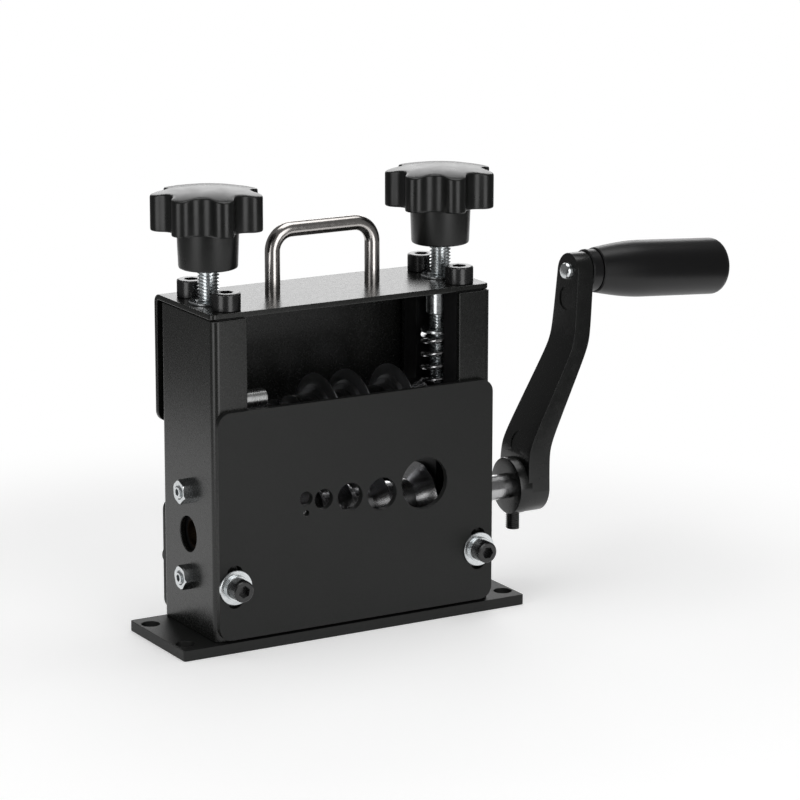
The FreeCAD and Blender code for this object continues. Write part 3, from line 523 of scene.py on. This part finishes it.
# Feed plate bolts: M6 cap screws in black oxide over a split lock washer and a wide zinc washer.
# The heads have a fine diamond knurl; the washers are stamped, so one edge is slightly rounded.


knurl_deep = 0.34


def knurled_head(bm, axis, seat, height, centre, radius, rows, count):
    """A cap head lathed in rows, whose side points are pressed in turn to leave diamonds."""
    tall = abs(height)
    outline = [(0.0, 0.0), (0.0, radius - 0.35), (0.35, radius)]
    outline += [(0.35 + (tall - 1.1) * k / rows, radius) for k in range(1, rows + 1)]
    outline += [(tall - 0.35, radius - 0.16), (tall, radius - 0.75), (tall, 0.0)]
    made = lathe(bm, outline, "z", (0.0, 0.0), count * 2)
    for vert in made:
        if 0.34 < vert.co.z < tall - 0.74 and vert.co.xy.length > radius - 0.1:
            step = round(math.atan2(vert.co.y, vert.co.x) / (math.pi / count))
            row = round((vert.co.z - 0.35) / ((tall - 1.1) / rows))
            if (step + row) % 2:
                vert.co.xy *= (radius - knurl_deep) / radius
    flip = Matrix.Scale(-1.0, 4, (0, 0, 1)) if height < 0 else Matrix.Identity(4)
    place = Matrix.Translation(spot_on(axis, seat, centre)) @ turned_to(axis) @ flip
    bmesh.ops.transform(bm, matrix=place, verts=made)


def cap_screw(axis, seat, height, centre, radius, socket, shank, length, rows, count, turn):
    """Head with its hexagon socket, and the shank on the other side of the seat."""
    bm = bmesh.new()
    knurled_head(bm, axis, seat, height, centre, radius, rows, count)
    end = seat - math.copysign(length, height)
    pin(bm, axis, min(seat, end), max(seat, end), centre, shank / 2.0, 32)
    tool = bmesh.new()
    floor, top = seat + height * 0.45, seat + height * 1.2
    hexagon(tool, axis, min(floor, top), max(floor, top), centre, socket, turn)
    return cut_with(bm, tool)


washer_seat, lock_seat = plate_front - 1.6, plate_front - 3.0
bolts = joined([cap_screw("y", lock_seat, -6.0, (x, bolt_z), 5.0, 5.0, 6.0, 14.0, 5, 26, turn)
                for x, turn in ((-bolt_x, 10.0), (bolt_x, 34.0))])
finished(bolts, "feed_plate_bolts_dressed", black_oxide, "frame", ["front_plate_bolts"],
         16.0, False)

bm = bmesh.new()
for x in (-bolt_x, bolt_x):
    face = plate_front - 0.03
    lathe(bm, softened([(face, 3.2), (face, 8.0), (washer_seat, 8.0), (washer_seat, 3.2)], 0.25),
          "y", (x, bolt_z), 96)
finished(bm, "feed_plate_washers_dressed", zinc, "frame", ["front_plate_washers"])

bm = bmesh.new()
for x in (-bolt_x, bolt_x):
    outer, inner = lock_seat + 0.02, washer_seat - 0.02
    ring = [(outer, 3.3), (outer, 5.8), (inner, 5.8), (inner, 3.3)]
    verts = [bm.verts.new((r, 0.0, a)) for a, r in ring]
    face = bm.faces.new(verts)
    spun = bmesh.ops.spin(bm, geom=[face], cent=(0, 0, 0), axis=(0, 0, 1), dvec=(0, 0, 0),
                          angle=math.radians(348.0), steps=48, use_merge=False, use_duplicate=False)
    made = [v for v in bm.verts if not v.tag]
    bmesh.ops.transform(bm, matrix=Matrix.Translation((x, 0, bolt_z)) @ turned_to("y")
                        @ Matrix.Rotation(math.radians(70.0), 4, "Z"), verts=made)
    for vert in made:
        vert.tag = True
broken_edges(bm, 0.12, 50.0)
finished(bm, "lock_washers_dressed", zinc, "frame", [])

# Rear exit plate: 2.5 mm steel with rounded corners, held by two short cap screws.
# It closes the lower back, and the stripped wire comes out above it.

bm = bmesh.new()
block(bm, -70.5, 70.5, rear_y, rear_y + 2.5, 6.3, 60.3)
rounded(bm, along(bm, "y", lambda p: True), 6.0, 10)
drill = bmesh.new()
for x in (-bolt_x, bolt_x):
    pin(drill, "y", rear_y - 2, rear_y + 5, (x, bolt_z), 3.2, 40)
bm = cut_with(bm, drill)
broken_edges(bm, 0.3, 50.0)
finished(bm, "rear_plate_dressed", plate_black, "frame", ["rear_exit_plate"])
screws = joined([cap_screw("y", rear_y + 2.5, 6.0, (x, bolt_z), 5.0, 5.0, 6.0, 14.0, 5, 26, 20.0)
                 for x in (-bolt_x, bolt_x)])
finished(screws, "rear_plate_screws_dressed", black_oxide, "frame", ["rear_plate_screws"],
         16.0, False)

# Drive shaft and rollers: turned from bright bar, with a sloping-sided groove under each feed hole.
# The turning leaves fine rings round the axis, drawn here coarser than they are so that they show.

turned_steel, tree, shader, place = new_finish("fine_turned_steel", "#b9b9ba", 0.26, 1.0)
rings = grain(tree, place, 0.9, 1.0, (1.0, 0.003, 0.003))
shade(tree, shader, rings, "#b4b4b5", "#c2c2c3")
sheen(tree, shader, rings, 0.22, 0.27)
relief(tree, shader, rings, 0.0006)

spindle_half, roller_radius = 49.4, 18.0
ridges = (-31.5, -22.5, -10.4, 5.2, 24.2, 49.4)
floors = (15.8, 15.0, 13.4, 12.4, 10.7)
blade_slot, slot_floor, rim_break = 1.8, 9.4, 0.25
outline = [(-spindle_half, 6.0), (-spindle_half, roller_radius - rim_break),
           (-spindle_half + rim_break, roller_radius)]
for (x, _, across), left, right, floor in zip(feeds, ridges, ridges[1:], floors):
    deep = roller_radius - floor
    outline += [(left - rim_break, roller_radius), (left + rim_break, roller_radius - 0.1),
                (left + 0.6 * deep, floor)]
    if across > 10.0:
        outline += [(x - blade_slot, floor), (x - blade_slot, slot_floor), (x + blade_slot, slot_floor),
                    (x + blade_slot, floor)]
    outline += [(right - 1.05 * deep, floor), (right - 2.0 * rim_break, roller_radius - 0.3)]
outline += [(spindle_half, roller_radius - 0.3), (spindle_half, 6.0)]
bm = bmesh.new()
lathe(bm, outline, "x", (works_y, shaft_z), 128)
finished(bm, "drive_rollers_dressed", turned_steel, "drive", ["drive_rollers"], 30.0, False)

bm = bmesh.new()
lathe(bm, [(-62.4, 0.0), (-62.4, 5.2), (-61.6, 6.0), (110.2, 6.0), (111.0, 5.2), (111.0, 0.0)], "x",
      (works_y, shaft_z), 96)
finished(bm, "drive_shaft_dressed", turned_steel, "drive", ["drive_shaft"], 30.0, False)

# Cutter wheels: three hardened discs over the larger feeds and two small ones over the thin wires.
# Ground faces, with a bright bevel at the edge, on a plain shaft between turned sleeves.

tool_steel, tree, shader, place = new_finish("ground_tool_steel", "#a9aaad", 0.3, 1.0)
scratch = grain(tree, place, 3.0, 1.0)
sheen(tree, shader, scratch, 0.32, 0.38)
relief(tree, shader, scratch, 0.0008)

blade_z = 92.0


def wheel(bm, x, side, steps):
    """A disc lathed from the outline of its left half, mirrored for the right."""
    outline = [(x - w, r) for w, r in side] + [(x + w, r) for w, r in reversed(side)]
    lathe(bm, outline, "x", (works_y, blade_z), steps)


bm = bmesh.new()
for x, _, _ in feeds[2:]:
    wheel(bm, x, [(2.5, 6.0), (2.5, 17.7), (1.3, 19.0), (1.3, 20.8), (0.25, 24.0)], 120)
finished(bm, "cutter_wheels_dressed", tool_steel, "blade_spindle", ["cutter_wheels"],
         20.0, False)
bm = bmesh.new()
for (x, _, _), radius in zip(feeds, (14.4, 15.2)):
    wheel(bm, x, [(1.8, 6.0), (1.8, radius - 3.6), (0.25, radius)], 96)
finished(bm, "small_cutters_dressed", tool_steel, "blade_spindle", ["small_cutters"],
         20.0, False)

bm = bmesh.new()
left = -spindle_half
for (x, _, _), half, radius in zip(feeds, (1.8, 1.8, 2.5, 2.5, 2.5), (13.0, 12.4, 15.0, 15.0, 15.0)):
    lathe(bm, [(left, 6.0), (left, radius - 0.4), (left + 0.4, radius), (x - half - 0.4, radius),
               (x - half, radius - 0.4), (x - half, 6.0)], "x", (works_y, blade_z), 96)
    left = x + half
lathe(bm, [(left, 6.0), (left, 15.4), (left + 0.4, 15.8), (spindle_half - 0.4, 15.8), (spindle_half, 15.4),
           (spindle_half, 6.0)], "x", (works_y, blade_z), 96)
finished(bm, "spacer_sleeves_dressed", turned_steel, "blade_spindle", ["spacer_sleeves"],
         30.0, False)

plain_steel, tree, shader, place = new_finish("plain_milled_steel", "#8f9092", 0.36, 1.0)
mill = grain(tree, place, 0.6, 3.0, (0.15, 1.0, 1.0))
sheen(tree, shader, mill, 0.28, 0.46)
relief(tree, shader, mill, 0.002)
dressed(plain_steel, "blade_shaft", "left_blade_block", "right_blade_block")

# Springs: round spring wire with closed ends, between the sliding blocks and the thrust washers.
# Bright drawn wire, so each coil carries one long highlight.

spring_steel, tree, shader, place = new_finish("bright_drawn_spring_wire", "#c3c3c4", 0.2, 1.0)
drawn = grain(tree, place, 2.0, 1.0)
sheen(tree, shader, drawn, 0.16, 0.26)
relief(tree, shader, drawn, 0.002)

knob_x, block_top, washer_low = 60.0, 101.5, 129.1


def coil_spring(bm, x):
    """A ring of wire swept up a helix that lies nearly flat at both ends."""
    wire, mean, closed, pitch, rise_end = 1.35, 7.6, 0.75, 6.2, 1.5
    low, high = block_top + wire, washer_low - wire
    climb = high - low - 2.0 * rise_end
    upright = Matrix.Translation((mean, 0, low)) @ Matrix.Rotation(math.pi / 2, 4, "X")
    ring = bmesh.ops.create_circle(bm, cap_ends=False, segments=16, radius=wire, matrix=upright)
    verts = ring["verts"]
    edges = rim_of(verts)
    bm.faces.new(verts)
    for turns, rise in ((closed, rise_end), (climb / pitch, climb), (closed, rise_end)):
        steps = int(turns * 40)
        spun = bmesh.ops.spin(bm, geom=verts + edges, cent=(0, 0, 0), axis=(0, 0, 1),
                              dvec=(0, 0, rise / steps), angle=2.0 * math.pi * turns, steps=steps,
                              use_merge=False, use_duplicate=False)
        last = spun["geom_last"]
        verts, edges = only(last, bmesh.types.BMVert), only(last, bmesh.types.BMEdge)
    bmesh.ops.edgenet_fill(bm, edges=edges)
    turned = Matrix.Rotation(math.radians(150.0), 3, "Z")
    bmesh.ops.rotate(bm, cent=(0, 0, 0), matrix=turned, verts=bm.verts)
    bmesh.ops.translate(bm, vec=(x, works_y, 0), verts=bm.verts)


for side, name in ((-1.0, "left"), (1.0, "right")):
    bm = bmesh.new()
    coil_spring(bm, side * knob_x)
    spring = finished(bm, name + "_spring_dressed", spring_steel, "blade_carriage",
                      [name + "_spring"], 40.0, False)
    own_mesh(spring)

bm = bmesh.new()
for x in (-knob_x, knob_x):
    lathe(bm, [(washer_low, 5.05), (washer_low, 8.7), (washer_low + 0.3, 9.0), (washer_low + 1.3, 9.0),
               (washer_low + 1.6, 8.7), (washer_low + 1.6, 5.05)], "z", (x, works_y), 80)
finished(bm, "thrust_washers_dressed", zinc, "adjuster", ["thrust_washers"])

# Top cover: one sheet folded down at the back, with rounded corners, held by four cap screws.
# The same powder coat; its broad flat top mirrors the softbox behind it at a low angle.

cover_front, cover_rear, cover_low, cover_top, hang = -22.7, 33.4, 152.3, 154.8, 95.3
bm = bmesh.new()
start = [(cover_front, cover_top), (cover_rear, cover_top), (cover_rear, hang)]
verts = [bm.verts.new((-half_width, y, z)) for y, z in start]
edges = [bm.edges.new(pair) for pair in zip(verts, verts[1:])]
bmesh.ops.translate(bm, vec=(2.0 * half_width, 0, 0), verts=extended(bm, edges)[0])
rounded(bm, along(bm, "x", lambda p: p.y > cover_rear - 1 and p.z > cover_top - 1), 4.0, 8)
bmesh.ops.recalc_face_normals(bm, faces=bm.faces)
if max(bm.faces, key=lambda f: f.calc_center_median().z).normal.z < 0:
    bmesh.ops.reverse_faces(bm, faces=bm.faces)
bmesh.ops.solidify(bm, geom=bm.faces[:], thickness=sheet)
bmesh.ops.recalc_face_normals(bm, faces=bm.faces)
rounded(bm, along(bm, "z", lambda p: p.y < cover_front + 1), 2.5, 6)
rounded(bm, along(bm, "y", lambda p: p.z < hang + 1), 5.0, 8)
drill = bmesh.new()
for x in (-knob_x, knob_x):
    pin(drill, "z", cover_low - 2, cover_top + 2, (x, works_y), 6.5, 48)
    for y in (works_y - 17.0, works_y + 17.0):
        pin(drill, "z", cover_low - 2, cover_top + 2, (x, y), 4.2, 40)
for x in (-25.8, 25.8):
    pin(drill, "z", cover_low - 2, cover_top + 2, (x, 5.5), 2.2, 32)
bm = cut_with(bm, drill)
broken_edges(bm, 0.5, 50.0, 3)
finished(bm, "top_cover_dressed", powder_coat, "frame", ["top_cover"])

screws = joined([cap_screw("z", cover_top, 8.0, (x, y), 6.5, 6.0, 8.0, 22.5, 6, 32, 15.0 + 11.0 * k)
                 for k, (x, y) in enumerate((x, y) for x in (-knob_x, knob_x) for y in (-15.0, 19.0))])
finished(screws, "cover_screws_dressed", black_oxide, "frame", ["cover_screws"], 16.0, False)

# Rivet nuts: zinc plated threaded tubes set in the cover, each with a flat flange on top.
# The adjusting screws, also zinc plated, run down through them with a coarse thread.

for side, name in ((-1.0, "left"), (1.0, "right")):
    bm = bmesh.new()
    lathe(bm, [(138.0, 5.1), (138.0, 6.2), (138.4, 6.5), (cover_top, 6.5), (cover_top, 8.8),
               (cover_top + 0.3, 9.0), (cover_top + 1.0, 9.0), (cover_top + 1.3, 8.7),
               (cover_top + 1.3, 5.8), (cover_top + 0.6, 5.1)],
          "z", (side * knob_x, works_y), 80)
    finished(bm, name + "_rivet_nut_dressed", zinc, "frame", [name + "_rivet_nut"])
    bm = bmesh.new()
    threaded(bm, "z", (side * knob_x, works_y), 104.9, 176.0, 4.98, 1.5, 48)
    finished(bm, name + "_adjusting_screw_dressed", zinc, name + "_adjuster_knob",
             [name + "_adjusting_screw"], 30.0, False)

# Star knobs: moulded black plastic, a ring of seven lobes over a tapered hub.
# Smooth lobes and valleys carry soft upright highlights, and the low dome mirrors the light behind it.

knob_plastic, tree, shader, place = new_finish("glossy_moulded_phenolic", "#0e0f0e", 0.3, 0.0, IOR=1.47)
flow = grain(tree, place, 9.0, 3.0)
sheen(tree, shader, flow, 0.27, 0.34)
relief(tree, shader, flow, 0.012)

lobes, lobe_round, valley_round, knob_reach = 7, 5.0, 6.8, 25.6
knob_heights = (170.9, 188.4, 204.2, 207.1)


def star_radius(angle):
    """How far the head's outline stands from its axis, angle measured from a lobe's middle."""
    half = math.pi / lobes
    lobe_at, join = knob_reach - lobe_round, lobe_round + valley_round
    valley_at = lobe_at * math.cos(half) + math.sqrt(join ** 2 - (lobe_at * math.sin(half)) ** 2)
    angle = abs((angle + half) % (2.0 * half) - half)
    meet_x = lobe_at + (valley_at * math.cos(half) - lobe_at) * lobe_round / join
    meet_y = valley_at * math.sin(half) * lobe_round / join
    if angle < math.atan2(meet_y, meet_x):
        return lobe_at * math.cos(angle) + math.sqrt(lobe_round ** 2 - (lobe_at * math.sin(angle)) ** 2)
    away = half - angle
    return valley_at * math.cos(away) - math.sqrt(valley_round ** 2 - (valley_at * math.sin(away)) ** 2)


def star_knob(x, phase):
    """The head rises from its outline with softened rims, closes in a dome and stands on the hub."""
    hub_low, head_low, head_high, crown = knob_heights
    bm = bmesh.new()
    ring = bmesh.ops.create_circle(bm, cap_ends=False, segments=lobes * 32, radius=1.0)["verts"]
    start = math.radians(phase)
    reach = {}
    for vert in ring:
        angle = math.atan2(vert.co.y, vert.co.x)
        reach[round(math.degrees(angle), 3)] = star_radius(angle - start)

    def shape(verts, share, inset, height):
        for vert in verts:
            angle = math.atan2(vert.co.y, vert.co.x)
            radius = share * (reach[round(math.degrees(angle), 3)] - inset)
            vert.co = (radius * math.cos(angle), radius * math.sin(angle), height)

    def dome(radius):
        return crown - (crown - head_high) * (radius / knob_reach) ** 2

    edges = base_edges = rim_of(ring)
    shape(ring, 1.0, 0.9, head_low)
    for inset, above in ((0.45, 0.08), (0.1, 0.4), (0.0, 1.0), (0.0, 6.0)):
        verts, edges = extended(bm, edges)
        shape(verts, 1.0, inset, head_low + above)
    lip = [(1.0, 0.0, 1.0), (1.0, 0.1, 0.45), (1.0, 0.45, 0.1), (1.0, 1.0, 0.0)]
    top = [(share, share, 0.0) for share in (0.9, 0.78, 0.62, 0.44, 0.26, 0.1)]
    for share, inset, below in lip + top:
        verts, edges = extended(bm, edges)
        shape(verts, share, inset, 0.0)
        for vert in verts:
            vert.co.z = dome(vert.co.xy.length) - below
    bmesh.ops.edgenet_fill(bm, edges=edges)
    edges = base_edges
    hub = ((14.0, head_low), (13.96, head_low - 0.2), (13.35, hub_low + 1.1), (13.1, hub_low + 0.35),
           (12.4, hub_low), (5.2, hub_low), (5.2, hub_low + 9.0))
    for radius, height in hub:
        verts, edges = extended(bm, edges)
        for vert in verts:
            across = vert.co.xy.length
            vert.co = (vert.co.x / across * radius, vert.co.y / across * radius, height)
    bmesh.ops.edgenet_fill(bm, edges=edges)
    bmesh.ops.translate(bm, vec=(x, works_y, 0), verts=bm.verts)
    return bm


for side, name, phase in ((-1.0, "left", 262.2), (1.0, "right", 258.0)):
    finished(star_knob(side * knob_x, phase), name + "_knob_dressed", knob_plastic,
             name + "_adjuster_knob", [name + "_knob"], 32.0, False)

# Carry handle: a 7 mm steel rod bent to a U and polished, held from below by two screws.
# It shows long clear reflections, with very fine marks along the rod.

polished_steel, tree, shader, place = new_finish("polished_bent_steel_rod", "#bdb9b6", 0.2, 1.0)
rub = grain(tree, place, 2.4, 2.0)
sheen(tree, shader, rub, 0.16, 0.24)
relief(tree, shader, rub, 0.002)

rod_radius, span, bend, handle_y, handle_top = 3.5, 25.8, 9.5, 5.5, 183.6
bm = bmesh.new()
ring = bmesh.ops.create_circle(bm, cap_ends=False, segments=40, radius=rod_radius,
                               matrix=Matrix.Translation((-span, handle_y, cover_top)))["verts"]
edges = rim_of(ring)
bmesh.ops.edgenet_fill(bm, edges=edges)


def drawn_on(bm, edges, vec):
    """Continues the rod straight on."""
    verts, edges = extended(bm, edges)
    bmesh.ops.translate(bm, vec=vec, verts=verts)
    return edges


def bent_on(bm, edges, centre):
    """Continues the rod round a quarter turn."""
    verts = list(dict.fromkeys(v for e in edges for v in e.verts))
    spun = bmesh.ops.spin(bm, geom=verts + edges, cent=centre, axis=(0, 1, 0), dvec=(0, 0, 0),
                          angle=math.pi / 2.0, steps=14, use_merge=False, use_duplicate=False)
    return only(spun["geom_last"], bmesh.types.BMEdge)


edges = drawn_on(bm, edges, (0, 0, handle_top - bend - cover_top))
edges = bent_on(bm, edges, (-span + bend, handle_y, handle_top - bend))
edges = drawn_on(bm, edges, (2.0 * (span - bend), 0, 0))
edges = bent_on(bm, edges, (span - bend, handle_y, handle_top - bend))
edges = drawn_on(bm, edges, (0, 0, cover_top - handle_top + bend))
bmesh.ops.edgenet_fill(bm, edges=edges)
finished(bm, "carry_handle_dressed", polished_steel, "frame", ["carry_handle"],
         30.0, False)
dressed(zinc, "handle_screws")

# Crank arm: a casting in black paint, stepped outwards, with a round hub that a set screw holds.
# Its edges are well rounded, and two shallow round marks are left on its inner face.

cast_black, tree, shader, place = new_finish("black_painted_casting", "#101110", 0.26, 0.0, IOR=1.5)
skin = grain(tree, place, 4.5, 2.0)
sheen(tree, shader, skin, 0.22, 0.29)
relief(tree, shader, skin, 0.01)

arm_left, low_thick, high_thick, offset = 101.4, 11.6, 8.6, 25.2
hub_z, grip_z, low_round, high_round = shaft_z, shaft_z + 100.0, 13.4, 9.0
bend_low, bend_high, lean = hub_z + 19.0, hub_z + 67.0, math.tan(math.radians(4.0))


def eased(value, low, high, soften):
    """A straight climb from 0 to 1 between low and high, whose two corners are rounded."""
    def ramp(t):
        return 0.5 * (t + math.sqrt(t * t + soften * soften))
    return (ramp(value - low) - ramp(value - high)) / (high - low)


def arm_place(z):
    """Where the arm's middle is along the shaft, and how thick it is, at a height."""
    share = eased(z, bend_low, bend_high, 5.0)
    thick = low_thick + (high_thick - low_thick) * share
    middle = arm_left + low_thick / 2.0 + offset * share
    over = z - bend_high
    return middle + lean * 0.5 * (over + math.sqrt(over * over + 25.0)), thick


bm = bmesh.new()
tilt = math.asin((low_round - high_round) / 100.0)
ring = bmesh.ops.create_circle(bm, cap_ends=False, segments=48, radius=1.0)["verts"]
for vert in ring:
    angle = math.atan2(vert.co.y, vert.co.x)
    top = angle >= 0
    radius, height = (high_round, grip_z) if top else (low_round, hub_z)
    span_angle = math.pi / 2.0 - tilt if top else math.pi / 2.0 + tilt
    share = (abs(angle) - math.pi / 2.0) / (math.pi / 2.0)
    turn = math.pi / 2.0 + share * span_angle
    y = radius * math.cos(turn)
    z = radius * math.sin(turn) if top else -radius * math.sin(turn)
    vert.co = (0.0, works_y + y, height + z)
face = bmesh.ops.edgenet_fill(bm, edges=rim_of(ring))["faces"]
made = bmesh.ops.extrude_face_region(bm, geom=face)["geom"]
bmesh.ops.translate(bm, vec=(1, 0, 0), verts=only(made, bmesh.types.BMVert))
bmesh.ops.recalc_face_normals(bm, faces=bm.faces)
slices = 60
for k in range(1, slices):
    level = hub_z - low_round + (grip_z + high_round - hub_z + low_round) * k / slices
    bmesh.ops.bisect_plane(bm, geom=bm.verts[:] + bm.edges[:] + bm.faces[:], dist=1e-5,
                           plane_co=(0, 0, level), plane_no=(0, 0, 1), clear_outer=False, clear_inner=False)
for vert in bm.verts:
    middle, thick = arm_place(vert.co.z)
    vert.co.x = middle + (vert.co.x - 0.5) * thick
rim = [e for e in bm.edges if len(e.link_faces) == 2 and e.calc_face_angle(0.0) > math.radians(60.0)]
rounded(bm, rim, 2.2, 5)
marks = bmesh.new()
for z in (hub_z + 20.8, hub_z + 87.6):
    (low_mid, low_t), (middle, thick), (high_mid, high_t) = map(arm_place, (z - 2.0, z, z + 2.0))
    slope = math.atan2(high_mid - high_t / 2.0 - low_mid + low_t / 2.0, 4.0)
    own = pin(marks, "x", -6.0, 0.5, (0.0, 0.0), 5.65, 48)
    bmesh.ops.transform(marks, matrix=Matrix.Translation((middle - thick / 2.0, works_y, z))
                        @ Matrix.Rotation(slope, 4, "Y"), verts=own)
bm = cut_with(bm, marks)
hub = bmesh.new()
lathe(hub, [(97.0, 6.0), (97.0, 12.8), (97.2, 13.35), (97.8, 13.6), (103.4, 13.6), (103.4, 6.0)], "x",
      (works_y, hub_z), 96)
bm = joined([bm, hub])
finished(bm, "crank_arm_dressed", cast_black, "drive", ["crank_arm"], 40.0, False)

bm = bmesh.new()
threaded(bm, "z", (100.8, works_y), 28.55, 42.5, 3.3, 1.0, 32)
socket = bmesh.new()
hexagon(socket, "z", 27.0, 31.5, (100.8, works_y), 3.0, 5.0)
bm = cut_with(bm, socket)
finished(bm, "crank_set_screw_dressed", black_oxide, "drive", ["crank_set_screw"],
         28.0, False)

# Hand grip: a swelling sleeve of black plastic that turns on a steel axle, with a collar at the arm.
# Satin from the mould, with a fine even grain.

grip_plastic, tree, shader, place = new_finish("satin_moulded_nylon", "#0b0b0c", 0.36, 0.0, IOR=1.46)
satin = grain(tree, place, 0.6, 4.0)
sheen(tree, shader, satin, 0.32, 0.4)
relief(tree, shader, satin, 0.004)


def on_grip_axis(bm):
    """Lays a form built along X from zero onto the leaning grip axis."""
    turn = Matrix.Rotation(math.radians(4.0), 4, "Y")
    bmesh.ops.transform(bm, matrix=Matrix.Translation((139.008, works_y, grip_z)) @ turn, verts=bm.verts)
    return bm


bm = bmesh.new()
lathe(bm, [(-11.2, 0.0), (-11.2, 2.6), (-10.9, 3.4), (-10.2, 3.9), (-9.6, 4.0), (64.8, 4.0), (65.6, 3.2),
           (65.6, 0.0)], "x", (0.0, 0.0), 64)
finished(on_grip_axis(bm), "grip_axle_dressed", zinc, "drive", ["grip_axle"], 30.0, False)
bm = bmesh.new()
lathe(bm, [(0.0, 4.0), (0.0, 9.5), (0.5, 10.0), (5.1, 10.0), (5.6, 9.5), (5.6, 4.0)], "x", (0.0, 0.0), 96)
finished(on_grip_axis(bm), "grip_collar_dressed", grip_plastic, "drive", ["grip_collar"],
         30.0, False)
start, end, neck, belly, end_round = 5.7, 77.7, 10.75, 13.6, 5.0
outline = [(start, 4.1), (start, neck - 0.5), (start + 0.5, neck)]
for k in range(1, 13):
    share = k / 12.0
    outline.append((start + 0.5 + 26.5 * share, neck + (belly - neck) * math.sin(share * math.pi / 2.0)))
outline.append((end - end_round, belly))
for k in range(1, 9):
    turn = math.pi / 2.0 * k / 8.0
    outline.append((end - end_round + end_round * math.sin(turn),
                    belly - end_round + end_round * math.cos(turn)))
outline.append((end, 0.0))
bm = bmesh.new()
lathe(bm, outline, "x", (0.0, 0.0), 96)
finished(on_grip_axis(bm), "hand_grip_dressed", grip_plastic, "grip", ["hand_grip"],
         30.0, False)

# Studio: a sheet of white paper on a table, in a room that is white to the eye and dim to a mirror.
# Softboxes stand overhead, left, right and behind; the camera is at the front left with a long lens.

paper, tree, shader, place = new_finish("white_paper", "#ececec", 0.9, 0.0)
shader.inputs["Specular IOR Level"].default_value = 0.0
path = add(tree, "ShaderNodeLightPath", {}, {})
away = add(tree, "ShaderNodeVectorMath", {"operation": "LENGTH"}, {0: (place, "Object")})
fade = add(tree, "ShaderNodeMapRange", {"interpolation_type": "SMOOTHSTEP"},
           {"Value": (away, "Value"), "From Min": 0.2, "From Max": 0.36, "To Min": 0.0, "To Max": 1.0})
lift = add(tree, "ShaderNodeEmission", {}, {"Color": (1, 1, 1, 1), "Strength": 0.36})
lifted = add(tree, "ShaderNodeAddShader", {}, {0: (shader, "BSDF"), 1: (lift, "Emission")})
white = add(tree, "ShaderNodeEmission", {}, {"Color": (1, 1, 1, 1), "Strength": 1.0})
faded = add(tree, "ShaderNodeMixShader", {},
            {"Fac": (fade, "Result"), 1: (lifted, "Shader"), 2: (white, "Emission")})
clear = add(tree, "ShaderNodeMath", {"operation": "MAXIMUM"}, {0: (path, "Is Glossy Ray"),
                                                               1: (path, "Is Transmission Ray")})
mirrored_part = add(tree, "ShaderNodeMixShader", {}, {"Fac": (clear, "Value"), 1: (shader, "BSDF"),
                                                      2: (lifted, "Shader")})
seen = add(tree, "ShaderNodeMixShader", {}, {"Fac": (path, "Is Camera Ray"), 1: (mirrored_part, "Shader"),
                                             2: (faded, "Shader")})
tree.links.new(seen.outputs["Shader"], tree.nodes["Material Output"].inputs["Surface"])

yaw = math.radians(30.24)
bm = bmesh.new()
bmesh.ops.create_grid(bm, x_segments=1, y_segments=1, size=1.0)
bmesh.ops.scale(bm, vec=(0.42, 1.1, 1.0), verts=bm.verts)
bmesh.ops.translate(bm, vec=(0.0, 0.78, 0.0), verts=bm.verts)
bmesh.ops.rotate(bm, cent=(0, 0, 0), matrix=Matrix.Rotation(-yaw, 3, "Z"), verts=bm.verts)
mesh = meshed(bm, "paper_sheet")
mesh.materials.append(paper)
sheet_of_paper = linked("paper_sheet", mesh)

world = bpy.data.worlds.new("dim_room")
bpy.context.scene.world = world
world.use_nodes = True
tree = world.node_tree
room = tree.nodes["Background"]
room.inputs["Color"].default_value = (1, 1, 1, 1)
room.inputs["Strength"].default_value = 0.15
white = add(tree, "ShaderNodeBackground", {}, {"Color": (1, 1, 1, 1), "Strength": 1.0})
path = add(tree, "ShaderNodeLightPath", {}, {})
mixed = add(tree, "ShaderNodeMixShader", {}, {"Fac": (path, "Is Camera Ray"), 1: (room, "Background"),
                                              2: (white, "Background")})
tree.links.new(mixed.outputs["Shader"], tree.nodes["World Output"].inputs["Surface"])


def softbox(name, azimuth, distance, low, high, width, radiance):
    """A lamp that faces the tool between two heights; azimuth is counted from the camera, to the right."""
    aim = Vector((0.0, 0.0, 0.1))  # the tool's middle
    turn = yaw - math.radians(azimuth)
    spot = Vector((-math.sin(turn) * distance, -math.cos(turn) * distance, (low + high) / 2.0))
    away = (spot - aim).length
    steep = distance < 0.3  # overhead: the heights are then its own size
    tall = high - low if steep else (high - low) * away / distance
    light = bpy.data.lights.new(name, "AREA")
    light.shape = "RECTANGLE"
    light.size, light.size_y, light.energy = width, tall, radiance * math.pi * width * tall
    facing = (aim - spot).to_track_quat("-Z", "Y").to_matrix().to_4x4()
    linked(name, light).matrix_world = Matrix.Translation(spot) @ facing


softbox("overhead_softbox", 150.0, 0.25, 0.9, 2.1, 1.1, 2.2)
softbox("left_softbox", -42.0, 0.75, -0.16, 0.55, 0.4, 2.2)
softbox("right_softbox", 33.0, 0.75, -0.16, 0.6, 0.42, 2.4)
softbox("rear_softbox", 180.0, 1.5, 0.34, 0.9, 0.95, 2.5)

pitch, roll = math.radians(13.54), math.radians(-0.11)
forward = Vector((math.sin(yaw) * math.cos(pitch), math.cos(yaw) * math.cos(pitch), -math.sin(pitch)))
right = forward.cross(Vector((0, 0, 1))).normalized()
up = right.cross(forward)
right, up = right * math.cos(roll) - up * math.sin(roll), up * math.cos(roll) + right * math.sin(roll)
place = Vector((0, 0, 0.08)) - forward * 1.60362 + right * 0.03251 + up * 0.02292
camera = linked("camera", bpy.data.cameras.new("camera"))
camera.data.lens, camera.data.sensor_width = 157.5, 36.0
camera.matrix_world = Matrix.Translation(place) @ Matrix((right, up, -forward)).transposed().to_4x4()
bpy.context.scene.camera = camera
bpy.context.scene.view_settings.view_transform = "Standard"
